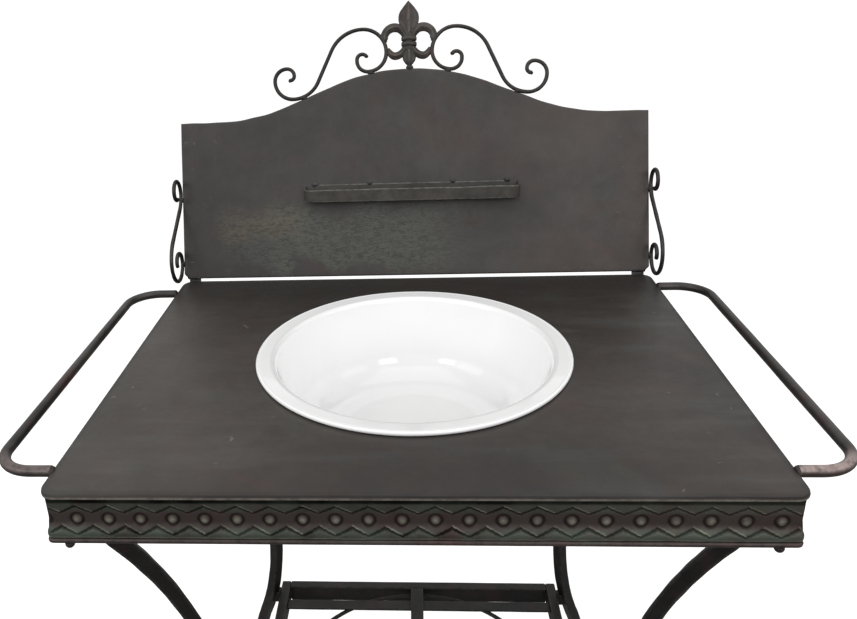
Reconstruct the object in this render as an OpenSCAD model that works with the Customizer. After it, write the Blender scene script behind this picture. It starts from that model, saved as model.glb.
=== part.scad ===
// Iron wash basin stand: a table with a loose enamelled bowl, a leaning splash panel with a
// small tray and a scrolled crest, two towel rails and four curved legs tied by a low shelf.
// The origin is on the floor, at the centre of the box that holds the whole stand.

/* [Table] */
// Width of the table top
table_w = 600; // [540:10:700]
// Depth of the table top
table_d = 468; // [430:4:560]
// Height of the table top above the floor
table_h = 800; // [770:5:850]
// Thickness of the top sheet
sheet_t = 5; // [3:0.5:6]
// Radius of the top sheet's corners
sheet_corner = 14; // [5:1:16]
// How far the top sheet stands out past the aprons
overhang = 5; // [3:0.5:8]

/* [Apron] */
// Height of the aprons, from the top sheet down to their foot
apron_h = 44; // [42:1:60]
// Thickness of the embossed strips
apron_t = 2.5; // [2:0.25:4]
// Depth of the embossed pattern
relief = 0.8; // [0.4:0.1:1]
// Distance from one button to the next
band_pitch = 26.3; // [24:0.1:32]
// Distance of the row of buttons to the right of a strip's middle
band_shift = 4.3; // [0:0.1:5]
// Depth of the buttons' centre line below the top sheet's upper face
band_drop = 27; // [24:0.5:30]
// Half height of a hexagon at its button
hex_high = 14; // [12:0.5:15]
// Half height of a hexagon where it meets the next one
hex_low = 7; // [5:0.5:9]
// Radius of the buttons
button_r = 4.6; // [3:0.1:5]
// Width of the pressed grooves
groove_w = 1.6; // [1:0.1:2]
// Height of the hollow by which a strip turns out to its foot
cove_h = 9; // [7:0.5:10]
// How far a strip's foot turns out
cove_out = 3.2; // [2:0.1:4]
// Height of the half-round bar under the strips
bar_h = 5; // [4:0.5:6]
// How far the half-round bar stands out
bar_out = 4.5; // [4:0.1:5]
// Radius of the corner drops
drop_r = 4; // [3:0.5:5]
// Distance of a corner drop from the end of the top sheet
drop_inset = 18; // [16:1:40]

/* [Basin] */
// Outer radius of the basin's rim
rim_r = 163; // [150:0.1:170]
// Radius of the rolled bead round the rim
bead_r = 2.25; // [2:0.25:4]
// Width of the flat flange inside the bead
flange_w = 15.6; // [13:0.1:26]
// Depth of the bowl below the top sheet's upper face
bowl_drop = 92; // [70:1:110]
// Radius of the bowl's flat bottom
bowl_floor_r = 86; // [70:1:100]
// Radius of the bend between the bowl's wall and its bottom
bowl_bend = 42; // [20:1:45]
// Radius of the bend between the bowl's wall and its flange
lip_bend = 7; // [4:1:9]
// Thickness of the basin's wall
bowl_t = 1.8; // [1:0.1:3]
// Clearance between the bowl's wall and the cut-out in the top sheet
bowl_gap = 3; // [1:0.5:6]
// Distance of the basin's centre behind the table's centre
bowl_back = 12; // [-10:1:20]

/* [Towel rails] */
// Radius of the towel rails
rail_r = 5; // [4:0.5:6]
// Depth of the rails' centre line below the top sheet's upper face
rail_drop = 1; // [0:0.5:2]
// Distance of a rail's long run from the side of the top sheet
rail_out = 53; // [45:1:80]
// Distance of a rail's front arm from the table's front edge
rail_front = 34.5; // [25:0.5:60]
// Distance of a rail's rear arm from the table's rear edge
rail_rear = 42; // [30:1:80]
// Radius of a rail's bends
rail_bend = 34; // [15:1:35]

/* [Splash panel] */
// Distance of the panel's ends inside the ends of the top sheet
panel_inset = 0; // [0:1:10]
// Thickness of the panel
panel_t = 3; // [2:0.5:4]
// Angle by which the panel leans back
lean = 21.1; // [10:0.1:25]
// Gap between the top sheet and the panel's lower edge
panel_foot = 3; // [2:0.5:6]
// Height of the panel at its shoulders
shoulder = 206.5; // [180:0.5:240]
// Radius of the arch over the middle
arch_r = 261; // [240:1:290]
// Steepest slope of the arch's sides
arch_turn = 21.8; // [19:0.2:24]
// Length of the straight stretch beside the arch
arch_slope = 68; // [55:1:80]
// Radius of the hollow between the arch and the shoulders
hollow_r = 248; // [200:1:270]
// Size of the cuts at the panel's lower corners
corner_cut = 6; // [3:0.5:10]
// Width of the straps that carry the panel
strap_w = 15; // [10:1:25]
// Thickness of the straps
strap_t = 3; // [2:0.5:4]
// Reach of a strap up the panel's back
strap_up = 48; // [30:1:90]
// Reach of a strap down behind the table
strap_down = 46; // [30:1:60]
// Distance of a strap from the end of the panel
strap_inset = 6; // [6:1:30]

/* [Tray] */
// Height of the tray's top edge on the panel
tray_v = 122; // [90:1:150]
// Length of the tray outside
tray_w = 275; // [200:5:330]
// Depth of the tray at its top edge
tray_d = 27; // [22:1:45]
// Height of the tray's strap
tray_h = 16; // [12:1:22]
// Thickness of the tray's strap
tray_t = 2; // [1.5:0.25:3]
// Outer radius of the tray's front corners
tray_bend = 11; // [6:1:16]
// Height of the strap along the tray's rear
tray_rear_h = 12; // [8:1:15]

/* [Scrolls] */
// Radius of the scroll rods
rod_r = 2.5; // [2:0.1:3]
// Distance of the inner curl's lowest point from the panel's middle
curl_x = 53.3; // [50:0.1:60]
// Radius of the inner curl at its foot
curl_r = 24; // [22:0.5:26]
// Radius of the inner curl where it turns over
crown_r = 30; // [28:0.5:32]
// Radius of the shoulder where the scroll turns down
brow_r = 45; // [42:0.5:48]
// Slope at which the scroll runs down to its outer curl
fall_turn = 65.3; // [62:0.1:68]
// Radius of the outer curl where it lies on the panel
heel_r = 36; // [34:0.5:38]
// Radius of the side scrolls' lower curl at its front
side_curl_r = 26; // [24:0.5:28]
// Height of the side scrolls' lower weld above the top sheet
side_weld_v = 22.5; // [18:0.5:30]

/* [Finial] */
// Height of the finial's tip above its foot
finial_h = 86; // [80:1:95]
// Thickness of the finial's middle
finial_t = 8; // [6:0.5:10]
// Thickness of the finial's leaves
leaf_t = 5; // [3:0.5:6]
// Half width of the finial's upper petal
petal_w = 13; // [12:0.1:15]
// Half width of the finial's collar
collar_w = 10; // [9:0.1:11]

/* [Legs] */
// Width of the legs' square bar
leg_bar = 14; // [12:1:20]
// Distance of a leg's head from the side of the top sheet
leg_inset_x = 38; // [34:1:60]
// Distance of a leg's head from the front or rear edge of the top sheet
leg_inset_y = 27; // [27:1:60]
// Direction in which a leg curves in, measured from the table's front
leg_toe = 38; // [30:1:50]
// Straight length at a leg's head
leg_head = 35; // [25:1:45]
// Radius of the bend under a leg's head
head_r = 40; // [30:1:60]
// Radius of a leg above its waist
upper_r = 510; // [480:5:560]
// Radius of a leg below its waist
lower_r = 380; // [360:5:420]
// Depth of the legs' waist below the top sheet's upper face
waist_drop = 339; // [320:1:350]
// Steepest slope of a leg below its waist
flare = 24; // [22:1:26]
// Thickness of the plates at the legs' heads
plate_t = 4; // [3:0.5:6]
// Width of the plates at the legs' heads
plate_w = 36; // [30:1:38]
// Radius of the feet
foot_r = 14; // [12:1:20]
// Thickness of the feet
foot_t = 4; // [3:0.5:8]

/* [Shelf] */
// Depth of the shelf below the top sheet's upper face
shelf_drop = 455; // [430:5:470]
// Width of the shelf's frame bars
shelf_bar_w = 13; // [10:1:16]
// Height of the shelf's frame bars
shelf_bar_h = 25; // [15:1:30]
// Distance of the shelf's rear edge behind the legs' middle
shelf_past = 15; // [10:1:25]
// Width of the gap between the shelf and the legs
tab_len = 5; // [2:0.2:8]
// Width of the shelf's cross straps
slat_w = 17; // [12:1:30]
// Width of the shelf's long middle strap
spine_w = 17.5; // [12:0.5:25]
// Thickness of the shelf's straps
slat_t = 3; // [2:0.5:4]
// Distance of a cross strap from the shelf's edge
slat_set = 35; // [25:1:50]
// Clearance between the ring under the straps and the shelf's frame
ring_gap = 2; // [2:0.2:20]
// Radius of the ring's rod
ring_rod = 2.75; // [2:0.25:3.5]

/* [Hidden] */

// Gap left between two welded pieces, so that each is a clean solid of its own
weld_gap = 0.15;
// Gap under the basin's rim, which only rests on the top sheet
rest_gap = 0.3;
// Farthest that a flat of a drawn curve lies inside its true curve
chord_tol = 0.15;
iron = "#3a3532";
verdigris = "#454b42";
enamel = "#f4f6f6";

panel_w = table_w - 2 * panel_inset;

// Farthest point of the leaning finial behind the table's rear edge, and the table's place
arch_drop = arch_r * (1 - cos(arch_turn)) + arch_slope * sin(arch_turn) + hollow_r * (1 - cos(arch_turn));
crown = shoulder + arch_drop;
tip_v = crown + finial_h;
rear_reach = tip_v * sin(lean) + (panel_t + finial_t) / 2 * cos(lean);
table_y = -rear_reach / 2;

// How many flats draw a bend of radius r through the angle a
function flats(r, a) = ceil(abs(a) / min(18, 2 * acos(1 - chord_tol / r)));

// A path in the plane: [radius, turn] bends left for a positive turn and right for a negative
// one, and [0, length] runs straight. Each point of the result is [x, y, heading].
function run(path, p = [0, 0], h = 0, i = 0) =
    i == len(path) ? [[p.x, p.y, h]] :
    let (r = path[i][0], a = path[i][1])
    r == 0 ? concat([[p.x, p.y, h]], run(path, p + a * [cos(h), sin(h)], h, i + 1)) :
    let (s = sign(a), c = p + s * r * [-sin(h), cos(h)], n = flats(r, a))
    concat([for (k = [0:n - 1]) let (t = h + a * k / n) [c.x + s * r * sin(t), c.y - s * r * cos(t), t]],
        run(path, c + s * r * [sin(h + a), -cos(h + a)], h + a, i + 1));

// The same points from the far end back to the start
function backwards(pts) = [for (i = [len(pts) - 1:-1:0]) [pts[i].x, pts[i].y, pts[i].z + 180]];

// The points of a path without their headings
function flat(pts) = [for (p = pts) [p.x, p.y]];

// The outline of a bar of width w that follows a path
function bar_outline(pts, w) = concat(
    [for (p = pts) [p.x, p.y] + w / 2 * [-sin(p.z), cos(p.z)]],
    [for (i = [len(pts) - 1:-1:0]) let (p = pts[i]) [p.x, p.y] - w / 2 * [-sin(p.z), cos(p.z)]]);

// A round rod of radius r along a path in the XY plane
module rod(pts, r, sides = 8) {
    n = len(pts);
    points = [for (p = pts) for (j = [0:sides - 1]) let (b = 360 * j / sides)
        [p.x - r * cos(b) * sin(p.z), p.y + r * cos(b) * cos(p.z), r * sin(b)]];
    walls = [for (i = [0:n - 2]) for (j = [0:sides - 1]) let (k = (j + 1) % sides)
        each [[i * sides + j, (i + 1) * sides + j, (i + 1) * sides + k],
            [i * sides + j, (i + 1) * sides + k, i * sides + k]]];
    caps = [[for (j = [0:sides - 1]) j], [for (j = [sides - 1:-1:0]) (n - 1) * sides + j]];
    polyhedron(points = points, faces = concat(walls, caps));
}

// Places its children from the centre of the top sheet's upper face
module at_table() translate([0, table_y, table_h]) children();

// Places its children on the panel's front face: X to the right, Y up the panel from the
// table's rear edge, Z towards the front
module on_panel() at_table() translate([0, table_d / 2, 0]) rotate([90 - lean, 0, 0]) children();

// Copies its children from the right rear corner to the corner on side x, y
module to_corner(x, y) mirror([x < 0 ? 1 : 0, 0, 0]) mirror([0, y < 0 ? 1 : 0, 0]) children();

// ---- Table ----

bowl_r = rim_r - flange_w;
cutout_r = bowl_r + bowl_t + bowl_gap;

// A rectangle with its centre at the origin and round corners
function rounded(w, d, r) = flat(run([for (k = [0:3]) each [[0, (k % 2 == 0 ? w : d) - 2 * r], [r, 90]]],
    [r - w / 2, -d / 2], 0));

module top_sheet() color(iron) at_table() difference() {
    translate([0, 0, -sheet_t]) linear_extrude(sheet_t) polygon(rounded(table_w, table_d, sheet_corner));
    translate([0, bowl_back, -2 * sheet_t]) cylinder(r = cutout_r, h = 3 * sheet_t, $fn = 96);
}

// ---- Aprons: X along the strip, Y up, Z outwards from the strip's face ----

apron_y = table_d / 2 - overhang;
apron_x = table_w / 2 - overhang;
apron_foot = -sheet_t - apron_h;
strip_foot = apron_foot + bar_h + weld_gap;
button_ring = button_r + groove_w;

// Places a strip's children on the side of the table that faces the given angle from the rear
module on_side(angle) at_table() rotate([0, 0, angle]) rotate([90, 0, 180])
    translate([0, 0, angle % 180 == 0 ? apron_y : apron_x]) children();

// A wedge that cuts a strip of face length l at 45 degrees, weld_gap short of its neighbour
module mitre(l) {
    half = l / 2 - weld_gap;
    in = apron_t;
    out = bar_out;
    rotate([90, 0, 0]) linear_extrude(-2 * apron_foot)
        polygon([[in - half, -in], [half - in, -in], [half + out, out], [-half - out, out]]);
}

// A bar with the given profile of distance out and height, along a strip of face length l
module strip_bar(l, profile) intersection() {
    rotate([0, -90, 0]) linear_extrude(l + 4 * bar_out, center = true) polygon(profile);
    mitre(l);
}

// A pressed zigzag groove whose centre line is high at each button and low between them
module zigzag(n, side) {
    line = [for (k = [0:2 * n]) [(k - n) * band_pitch / 2, side * (k % 2 == 1 ? hex_high : hex_low)]];
    rise = [0, groove_w / 2];
    translate([0, -band_drop]) polygon(concat([for (p = line) p + rise],
        [for (i = [len(line) - 1:-1:0]) line[i] - rise]));
}

module apron(angle, l) color(verdigris) on_side(angle) difference() {
    // The grooves end short of the mitre, also where the row is shifted
    n = floor((l - 2 * (band_shift + relief + 2 * weld_gap)) / band_pitch);
    hollow_r = (cove_h * cove_h + cove_out * cove_out) / (2 * cove_out);
    hollow = run([[hollow_r, asin(cove_h / hollow_r)]], [0, strip_foot + cove_h], -90);
    strip_bar(l, concat([[-apron_t, strip_foot], [-apron_t, -sheet_t - weld_gap], [0, -sheet_t - weld_gap]],
        flat(hollow)));
    translate([band_shift, 0, -relief]) linear_extrude(relief + bar_out) {
        zigzag(n, 1);
        zigzag(n, -1);
        for (i = [0:n - 1]) translate([(i - (n - 1) / 2) * band_pitch, -band_drop]) difference() {
            circle(button_ring, $fn = 24);
            circle(button_r, $fn = 24);
        }
    }
}

module moulding(angle, l) color(iron) on_side(angle) {
    edge = bar_h / 2;
    strip_bar(l, concat([[-apron_t, apron_foot], [-apron_t, apron_foot + bar_h]],
        flat(run([[edge, -90], [edge, -90]], [bar_out - edge, apron_foot + bar_h], 0))));
}

module corner_drops() color(iron) at_table() for (x = [-1, 1]) for (y = [-1, 1]) to_corner(x, y)
    translate([table_w / 2 - drop_inset, apron_y, apron_foot - weld_gap]) mirror([0, 0, 1]) {
        neck = drop_r / 2;
        cylinder(r = drop_r, h = neck, $fn = 32);
        translate([0, 0, neck]) intersection() {
            sphere(drop_r, $fn = 32);
            cylinder(r = 2 * drop_r, h = 2 * drop_r);
        }
    }

// ---- Basin: a profile of radius and height turned round the bowl's centre ----

module basin() color(enamel) at_table() translate([0, bowl_back, 0]) {
    bead = [rim_r - bead_r, rest_gap + bead_r];
    flange_z = bead.y + bead_r / 2;
    // The wall's lean follows from the room between its two bends
    bends = bowl_bend + lip_bend;
    side = bowl_r - bowl_floor_r;
    rise = flange_z + bowl_drop - bends;
    wall = sqrt(side * side + rise * rise - bends * bends);
    turn = 90 - atan2(side, rise) + atan2(bends, wall);
    line = run([[0, bowl_floor_r], [bowl_bend, turn], [0, wall], [lip_bend, -turn], [0, flange_w - 2 * bead_r]],
        [0, -bowl_drop], 0);
    skin = bar_outline(line, bowl_t);
    // The bead takes over where it meets the flange's upper and lower faces
    from = 180 - asin((bead_r + bowl_t) / 2 / bead_r);
    to = asin((bead_r - bowl_t) / 2 / bead_r) - 180;
    roll = [for (k = [0:14]) bead + bead_r * [cos(from + (to - from) * k / 14), sin(from + (to - from) * k / 14)]];
    rotate_extrude($fn = 96) polygon(concat([for (i = [0:len(line) - 1]) skin[i]], roll,
        [for (i = [len(line):len(skin) - 1]) skin[i]]));
}

// ---- Towel rails ----

module towel_rail(side) color(iron) at_table() translate([0, 0, -rail_drop]) mirror([side < 0 ? 1 : 0, 0, 0]) {
    arm = rail_out - rail_bend - weld_gap;
    reach = table_d - rail_front - rail_rear - 2 * rail_bend;
    rod(run([[0, arm], [rail_bend, 90], [0, reach], [rail_bend, 90], [0, arm]],
        [table_w / 2 + weld_gap, rail_front - table_d / 2], 0), rail_r, 12);
}

// ---- Splash panel ----

half_top = run([[arch_r, -arch_turn], [0, arch_slope], [hollow_r, arch_turn]], [0, crown], 0);

module back_panel() color(iron) on_panel() {
    right = concat(flat(half_top), [[panel_w / 2, shoulder], [panel_w / 2, panel_foot + corner_cut],
        [panel_w / 2 - corner_cut, panel_foot]]);
    left = [for (i = [len(right) - 1:-1:1]) [-right[i].x, right[i].y]];
    translate([0, 0, -panel_t]) linear_extrude(panel_t) polygon(concat(right, left));
}

// A point of the panel's side view, from its height up the panel and its distance behind the
// panel's front face
function behind(v, back) = [table_d / 2 + v * sin(lean) + back * cos(lean), v * cos(lean) - back * sin(lean)];

module panel_strap(side) color(iron) at_table() mirror([side < 0 ? 1 : 0, 0, 0]) {
    near = panel_t + weld_gap;
    far = near + strap_t;
    edge = table_d / 2 + weld_gap;
    translate([panel_w / 2 - strap_inset - strap_w, 0, 0]) rotate([90, 0, 90]) linear_extrude(strap_w)
        polygon([[edge, -strap_down], [edge + strap_t, -strap_down], [edge + strap_t, -strap_t],
            behind(panel_foot, far), behind(strap_up, far), behind(strap_up, near),
            behind(panel_foot, near), [edge, 0]]);
}

// ---- Tray: X to the right, Y straight up, Z straight forward from the panel's front face ----

module on_tray() on_panel() translate([0, tray_v, 0]) rotate([lean, 0, 0]) children();

// Everything behind the panel's front face, seen from the tray
module panel_side(gap) rotate([-lean, 0, 0]) translate([-panel_w, -panel_w, gap - panel_w])
    cube([2 * panel_w, 2 * panel_w, panel_w]);

// The tray's outline from above, drawn in by a distance
function tray_outline(in) = let (w = tray_w - 2 * in, r = tray_bend - in, d = tray_d - in)
    flat(run([[0, 2 * tray_d + d - r], [r, -90], [0, w - 2 * r], [r, -90], [0, 2 * tray_d + d - r]],
        [-w / 2, -2 * tray_d], 90));

module tray_front() color(iron) on_tray() difference() {
    rotate([90, 0, 0]) linear_extrude(tray_h) difference() {
        polygon(tray_outline(0));
        polygon(tray_outline(tray_t));
    }
    panel_side(weld_gap);
}

module tray_rear() color(iron) on_panel() translate([0, tray_v, 0]) {
    w = tray_w - 2 * tray_t - 2 * tray_bend;
    translate([-w / 2, -tray_rear_h, weld_gap]) cube([w, tray_rear_h, tray_t]);
}

module tray_floor() color(iron) on_tray() difference() {
    translate([0, tray_t - tray_h, 0]) rotate([90, 0, 0]) linear_extrude(tray_t)
        polygon(tray_outline(tray_t + weld_gap));
    panel_side(weld_gap);
}

// ---- Scrolls ----

scroll_z = -panel_t / 2;
// Seats of the crest scrolls: the inner curl on the arch, the outer curl on the slope beside it
lift = rod_r + weld_gap;
curl_c = [curl_x, crown - arch_r + sqrt(pow(arch_r + curl_r + lift, 2) - pow(curl_x, 2))];
brow_c = curl_c + [crown_r - curl_r, crown_r - brow_r];
brow_end = brow_c + brow_r * [sin(fall_turn), cos(fall_turn)];
slope_start = [arch_r * sin(arch_turn), crown - arch_r * (1 - cos(arch_turn))];
slope_up = [sin(arch_turn), cos(arch_turn)];
fall = ((brow_end + heel_r * [sin(fall_turn), cos(fall_turn)] - slope_start) * slope_up - heel_r - lift)
    / sin(fall_turn - arch_turn);

module crest_scroll(side) color(iron) on_panel() translate([0, 0, scroll_z]) mirror([side < 0 ? 1 : 0, 0, 0]) {
    foot = curl_c - [0, curl_r];
    eye = run([[curl_r * 0.58, 90], [0, curl_r * 0.06], [curl_r * 0.29, 90], [curl_r * 0.27, 75]], foot, 0);
    over = run([[curl_r, -90], [crown_r, -90], [brow_r, -fall_turn], [0, fall], [heel_r, fall_turn],
        [heel_r * 0.65, 90], [heel_r * 0.44, 90], [heel_r * 0.26, 90], [heel_r * 0.16, 110]], foot, 180);
    rod(concat(backwards([for (i = [1:len(eye) - 1]) eye[i]]), over), rod_r);
}

// X forward from the panel's middle, Y up the panel
module side_scroll(side) color(iron) on_panel() mirror([side < 0 ? 1 : 0, 0, 0])
    translate([panel_w / 2 + weld_gap + rod_r, side_weld_v, scroll_z]) rotate([0, -90, 0]) {
        heel = side_curl_r * 0.88;
        knee = side_curl_r * 1.5;
        hip = side_curl_r * 1.15;
        turn = 38;
        climb = (heel + side_curl_r - (knee + hip) * (1 - cos(turn))) / sin(turn);
        up = run([[heel, 90], [side_curl_r, 90], [knee, turn], [0, climb], [hip, -turn],
            [heel * 0.75, -90], [heel * 0.6, -90], [heel * 0.48, -90], [heel * 0.3, -60]], [0, 0], -90);
        eye = run([[heel * 0.6, -90], [heel * 0.5, -90], [heel * 0.35, -60]], [0, 0], 90);
        rod(concat(backwards([for (i = [1:len(eye) - 1]) eye[i]]), up), rod_r);
    }

// ---- Finial: drawn on the panel, up from its foot on the crown ----

collar_v = finial_h * 0.314;
collar_h = finial_h * 0.163;
neck_w = petal_w * 0.5;

// A pointed petal, its tip at the origin: w is half its width, reached at the height up below the
// tip, and narrow is half its width at the height down below that
module petal(w, narrow, up, down) {
    r = (up * up + w * w) / (2 * w);
    turn = 2 * atan((w - narrow) / down);
    s = down / sin(turn) / 2;
    right = flat(run([[r, -asin(up / r)], [s, -turn], [s, turn]], [0, 0], asin(up / r) - 90));
    polygon(concat(right, [for (i = [len(right) - 1:-1:1]) [-right[i].x, right[i].y]]));
}

module leaf() difference() {
    union() {
        intersection() {
            translate([finial_h * 0.25, finial_h * 0.51]) circle(finial_h * 0.16, $fn = 32);
            translate([0, finial_h * 0.4]) square(finial_h);
        }
        intersection() {
            translate([finial_h * 0.22, finial_h * 0.28]) circle(finial_h * 0.145, $fn = 32);
            square([finial_h, finial_h * 0.295]);
        }
    }
    // The eye between the two leaves
    translate([finial_h * 0.21, finial_h * 0.39]) scale([0.8, 1]) circle(finial_h * 0.145, $fn = 24);
    // Room for the crest scroll that the leaves are welded to
    translate([brow_c.x, curl_c.y - crown]) circle(crown_r + lift, $fn = 48);
    translate([curl_c.x, curl_c.y - crown]) circle(curl_r + lift, $fn = 48);
}

module crest_finial() color(iron) on_panel() translate([0, crown, scroll_z]) {
    translate([0, 0, -finial_t / 2]) linear_extrude(finial_t) {
        translate([0, finial_h]) petal(petal_w, neck_w, finial_h * 0.256, finial_h * 0.267);
        translate([0, finial_h * 0.04]) mirror([0, 1]) petal(petal_w * 0.72, neck_w, finial_h * 0.14, collar_v * 0.45);
        translate([-neck_w, collar_v - 1]) square([2 * neck_w, collar_h + 2]);
        translate([-neck_w / 2, weld_gap]) square([neck_w, finial_h * 0.1]);
    }
    translate([0, 0, -leaf_t / 2]) linear_extrude(leaf_t) {
        leaf();
        mirror([1, 0]) leaf();
    }
    // Two beads of the collar round the stem
    for (k = [0.25, 0.75]) translate([0, collar_v + k * collar_h, 0]) rotate([90, 0, 0])
        linear_extrude(collar_h / 2 - 0.6, center = true) {
            bead = finial_t * 0.6;
            for (m = [-1, 1]) translate([m * (collar_w - bead), 0]) circle(bead, $fn = 24);
            square([2 * (collar_w - bead), 2 * bead], center = true);
        }
}

// ---- Legs: X outwards from the waist, Y up from the top sheet's upper face ----

head_z = -sheet_t - plate_t - 2 * weld_gap;
head_turn = asin((waist_drop + head_z - leg_head) / (head_r + upper_r));
head_out = (head_r + upper_r) * (1 - cos(head_turn));
foot_top = foot_t + weld_gap - table_h;
sweep_r = (-foot_top - waist_drop - lower_r * sin(flare)) / sin(flare);
leg_line = run([[0, leg_head], [head_r, -head_turn], [upper_r, head_turn], [lower_r, flare], [sweep_r, -flare]],
    [head_out, head_z], -90);
head_x = table_w / 2 - leg_inset_x;
head_y = table_d / 2 - leg_inset_y;
waist_x = head_x - head_out * cos(leg_toe);
waist_y = head_y - head_out * sin(leg_toe);
foot_out = leg_line[len(leg_line) - 1].x;

// A leg for the right rear corner, grown by a gap all round
module leg_bar_solid(gap = 0) translate([waist_x, waist_y, 0]) rotate([90, 0, leg_toe])
    linear_extrude(leg_bar + 2 * gap, center = true) polygon(bar_outline(leg_line, leg_bar + 2 * gap));

module leg(x, y) color(iron) at_table() to_corner(x, y) leg_bar_solid();

module leg_plate(x, y) color(iron) at_table() to_corner(x, y)
    translate([head_x - plate_w / 2, head_y - plate_w / 2, -sheet_t - weld_gap - plate_t])
        cube([plate_w, plate_w, plate_t]);

module foot(x, y) color(iron) at_table() to_corner(x, y)
    translate([waist_x + foot_out * cos(leg_toe), waist_y + foot_out * sin(leg_toe), -table_h])
        cylinder(r = foot_r, h = foot_t, $fn = 48);

// ---- Shelf ----

shelf_z = -shelf_drop;
tab_z = shelf_z - shelf_bar_h / 2;
leg_in = lower_r - sqrt(lower_r * lower_r - pow(waist_drop + tab_z, 2));
leg_x = waist_x + leg_in * cos(leg_toe);
leg_y = waist_y + leg_in * sin(leg_toe);
leg_reach = leg_bar / 2 * (cos(leg_toe) + sin(leg_toe));
shelf_x = leg_x - leg_reach - tab_len;
shelf_y = leg_y + shelf_past;
slat_y = shelf_y - slat_set - slat_w / 2;
ring_r = min(shelf_x, shelf_y) - shelf_bar_w - ring_gap - ring_rod;

module shelf_bar_side(side) color(iron) at_table() mirror([side < 0 ? 1 : 0, 0, 0])
    translate([shelf_x - shelf_bar_w, -shelf_y, shelf_z - shelf_bar_h])
        cube([shelf_bar_w, 2 * shelf_y, shelf_bar_h]);

module shelf_bar_end(side) color(iron) at_table() mirror([0, side < 0 ? 1 : 0, 0]) {
    half = shelf_x - shelf_bar_w - weld_gap;
    translate([-half, shelf_y - shelf_bar_w, shelf_z - shelf_bar_h]) cube([2 * half, shelf_bar_w, shelf_bar_h]);
}

module shelf_strap_cross(side) color(iron) at_table() mirror([0, side < 0 ? 1 : 0, 0]) {
    half = shelf_x - shelf_bar_w - weld_gap;
    translate([-half, slat_y - slat_w / 2, shelf_z - 2 * slat_t - weld_gap]) cube([2 * half, slat_w, slat_t]);
}

module shelf_strap_middle() color(iron) at_table() {
    half = shelf_y - shelf_bar_w - weld_gap;
    translate([-spine_w / 2, -half, shelf_z - slat_t]) cube([spine_w, 2 * half, slat_t]);
}

module shelf_ring() color(iron) at_table()
    translate([0, 0, shelf_z - 2 * slat_t - 2 * weld_gap - ring_rod])
        rotate_extrude($fn = 96) translate([ring_r, 0]) circle(ring_rod, $fn = 16);

module shelf_tabs() color(iron) at_table() for (x = [-1, 1]) for (y = [-1, 1]) to_corner(x, y) difference() {
    tab_h = shelf_bar_h * 0.7;
    translate([shelf_x + weld_gap, leg_y - leg_bar / 2, tab_z - tab_h / 2])
        cube([leg_x - shelf_x - weld_gap, leg_bar, tab_h]);
    leg_bar_solid(weld_gap);
}

top_sheet();
apron(180, 2 * apron_x);  // apron_front
apron(0, 2 * apron_x);  // apron_rear
apron(90, 2 * apron_y);  // apron_left
apron(-90, 2 * apron_y);  // apron_right
moulding(180, 2 * apron_x);  // moulding_front
moulding(0, 2 * apron_x);  // moulding_rear
moulding(90, 2 * apron_y);  // moulding_left
moulding(-90, 2 * apron_y);  // moulding_right
corner_drops();
basin();
towel_rail(-1);  // towel_rail_left
towel_rail(1);  // towel_rail_right
back_panel();
panel_strap(-1);  // panel_strap_left
panel_strap(1);  // panel_strap_right
tray_front();
tray_rear();
tray_floor();
side_scroll(-1);  // side_scroll_left
side_scroll(1);  // side_scroll_right
crest_scroll(-1);  // crest_scroll_left
crest_scroll(1);  // crest_scroll_right
crest_finial();
leg_plate(-1, -1);  // leg_plate_front_left
leg_plate(1, -1);  // leg_plate_front_right
leg_plate(-1, 1);  // leg_plate_rear_left
leg_plate(1, 1);  // leg_plate_rear_right
leg(-1, -1);  // leg_front_left
leg(1, -1);  // leg_front_right
leg(-1, 1);  // leg_rear_left
leg(1, 1);  // leg_rear_right
foot(-1, -1);  // foot_front_left
foot(1, -1);  // foot_front_right
foot(-1, 1);  // foot_rear_left
foot(1, 1);  // foot_rear_right
shelf_bar_end(-1);  // shelf_bar_front
shelf_bar_end(1);  // shelf_bar_rear
shelf_bar_side(-1);  // shelf_bar_left
shelf_bar_side(1);  // shelf_bar_right
shelf_strap_cross(-1);  // shelf_strap_front
shelf_strap_cross(1);  // shelf_strap_rear
shelf_strap_middle();
shelf_ring();
shelf_tabs();
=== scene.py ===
# An iron wash basin stand with a loose enamelled bowl, set up in a plain studio.
# Everything is in metres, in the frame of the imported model: X to the right, Y to the back, Z up.
import bmesh
import bpy
import numpy as np
from mathutils import Matrix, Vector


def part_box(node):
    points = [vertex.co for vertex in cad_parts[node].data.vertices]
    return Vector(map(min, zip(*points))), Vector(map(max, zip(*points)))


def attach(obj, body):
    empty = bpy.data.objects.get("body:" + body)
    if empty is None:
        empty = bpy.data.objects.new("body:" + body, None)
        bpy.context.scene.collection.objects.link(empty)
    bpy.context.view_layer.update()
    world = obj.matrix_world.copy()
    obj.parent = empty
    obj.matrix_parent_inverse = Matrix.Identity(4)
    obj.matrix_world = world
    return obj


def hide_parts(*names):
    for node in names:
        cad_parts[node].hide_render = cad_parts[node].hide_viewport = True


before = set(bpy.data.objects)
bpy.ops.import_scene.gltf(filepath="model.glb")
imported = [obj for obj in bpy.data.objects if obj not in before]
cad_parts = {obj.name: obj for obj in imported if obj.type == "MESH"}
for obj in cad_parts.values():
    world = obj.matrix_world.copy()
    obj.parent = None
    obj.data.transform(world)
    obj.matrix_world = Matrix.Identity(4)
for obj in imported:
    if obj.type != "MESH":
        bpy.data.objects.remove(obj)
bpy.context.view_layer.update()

bpy.context.scene.view_settings.view_transform = "Standard"


# ---- Camera and studio ----
# The stand is seen from in front and a little above the splash panel, by a moderate wide lens.
# It stands on a white floor in a pale room, under a broad soft light above, with two weaker ones in front
# and one on each side.

def placed(name, data):
    """A new object in the scene, at the origin."""
    thing = bpy.data.objects.new(name, data)
    bpy.context.scene.collection.objects.link(thing)
    return thing


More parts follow.
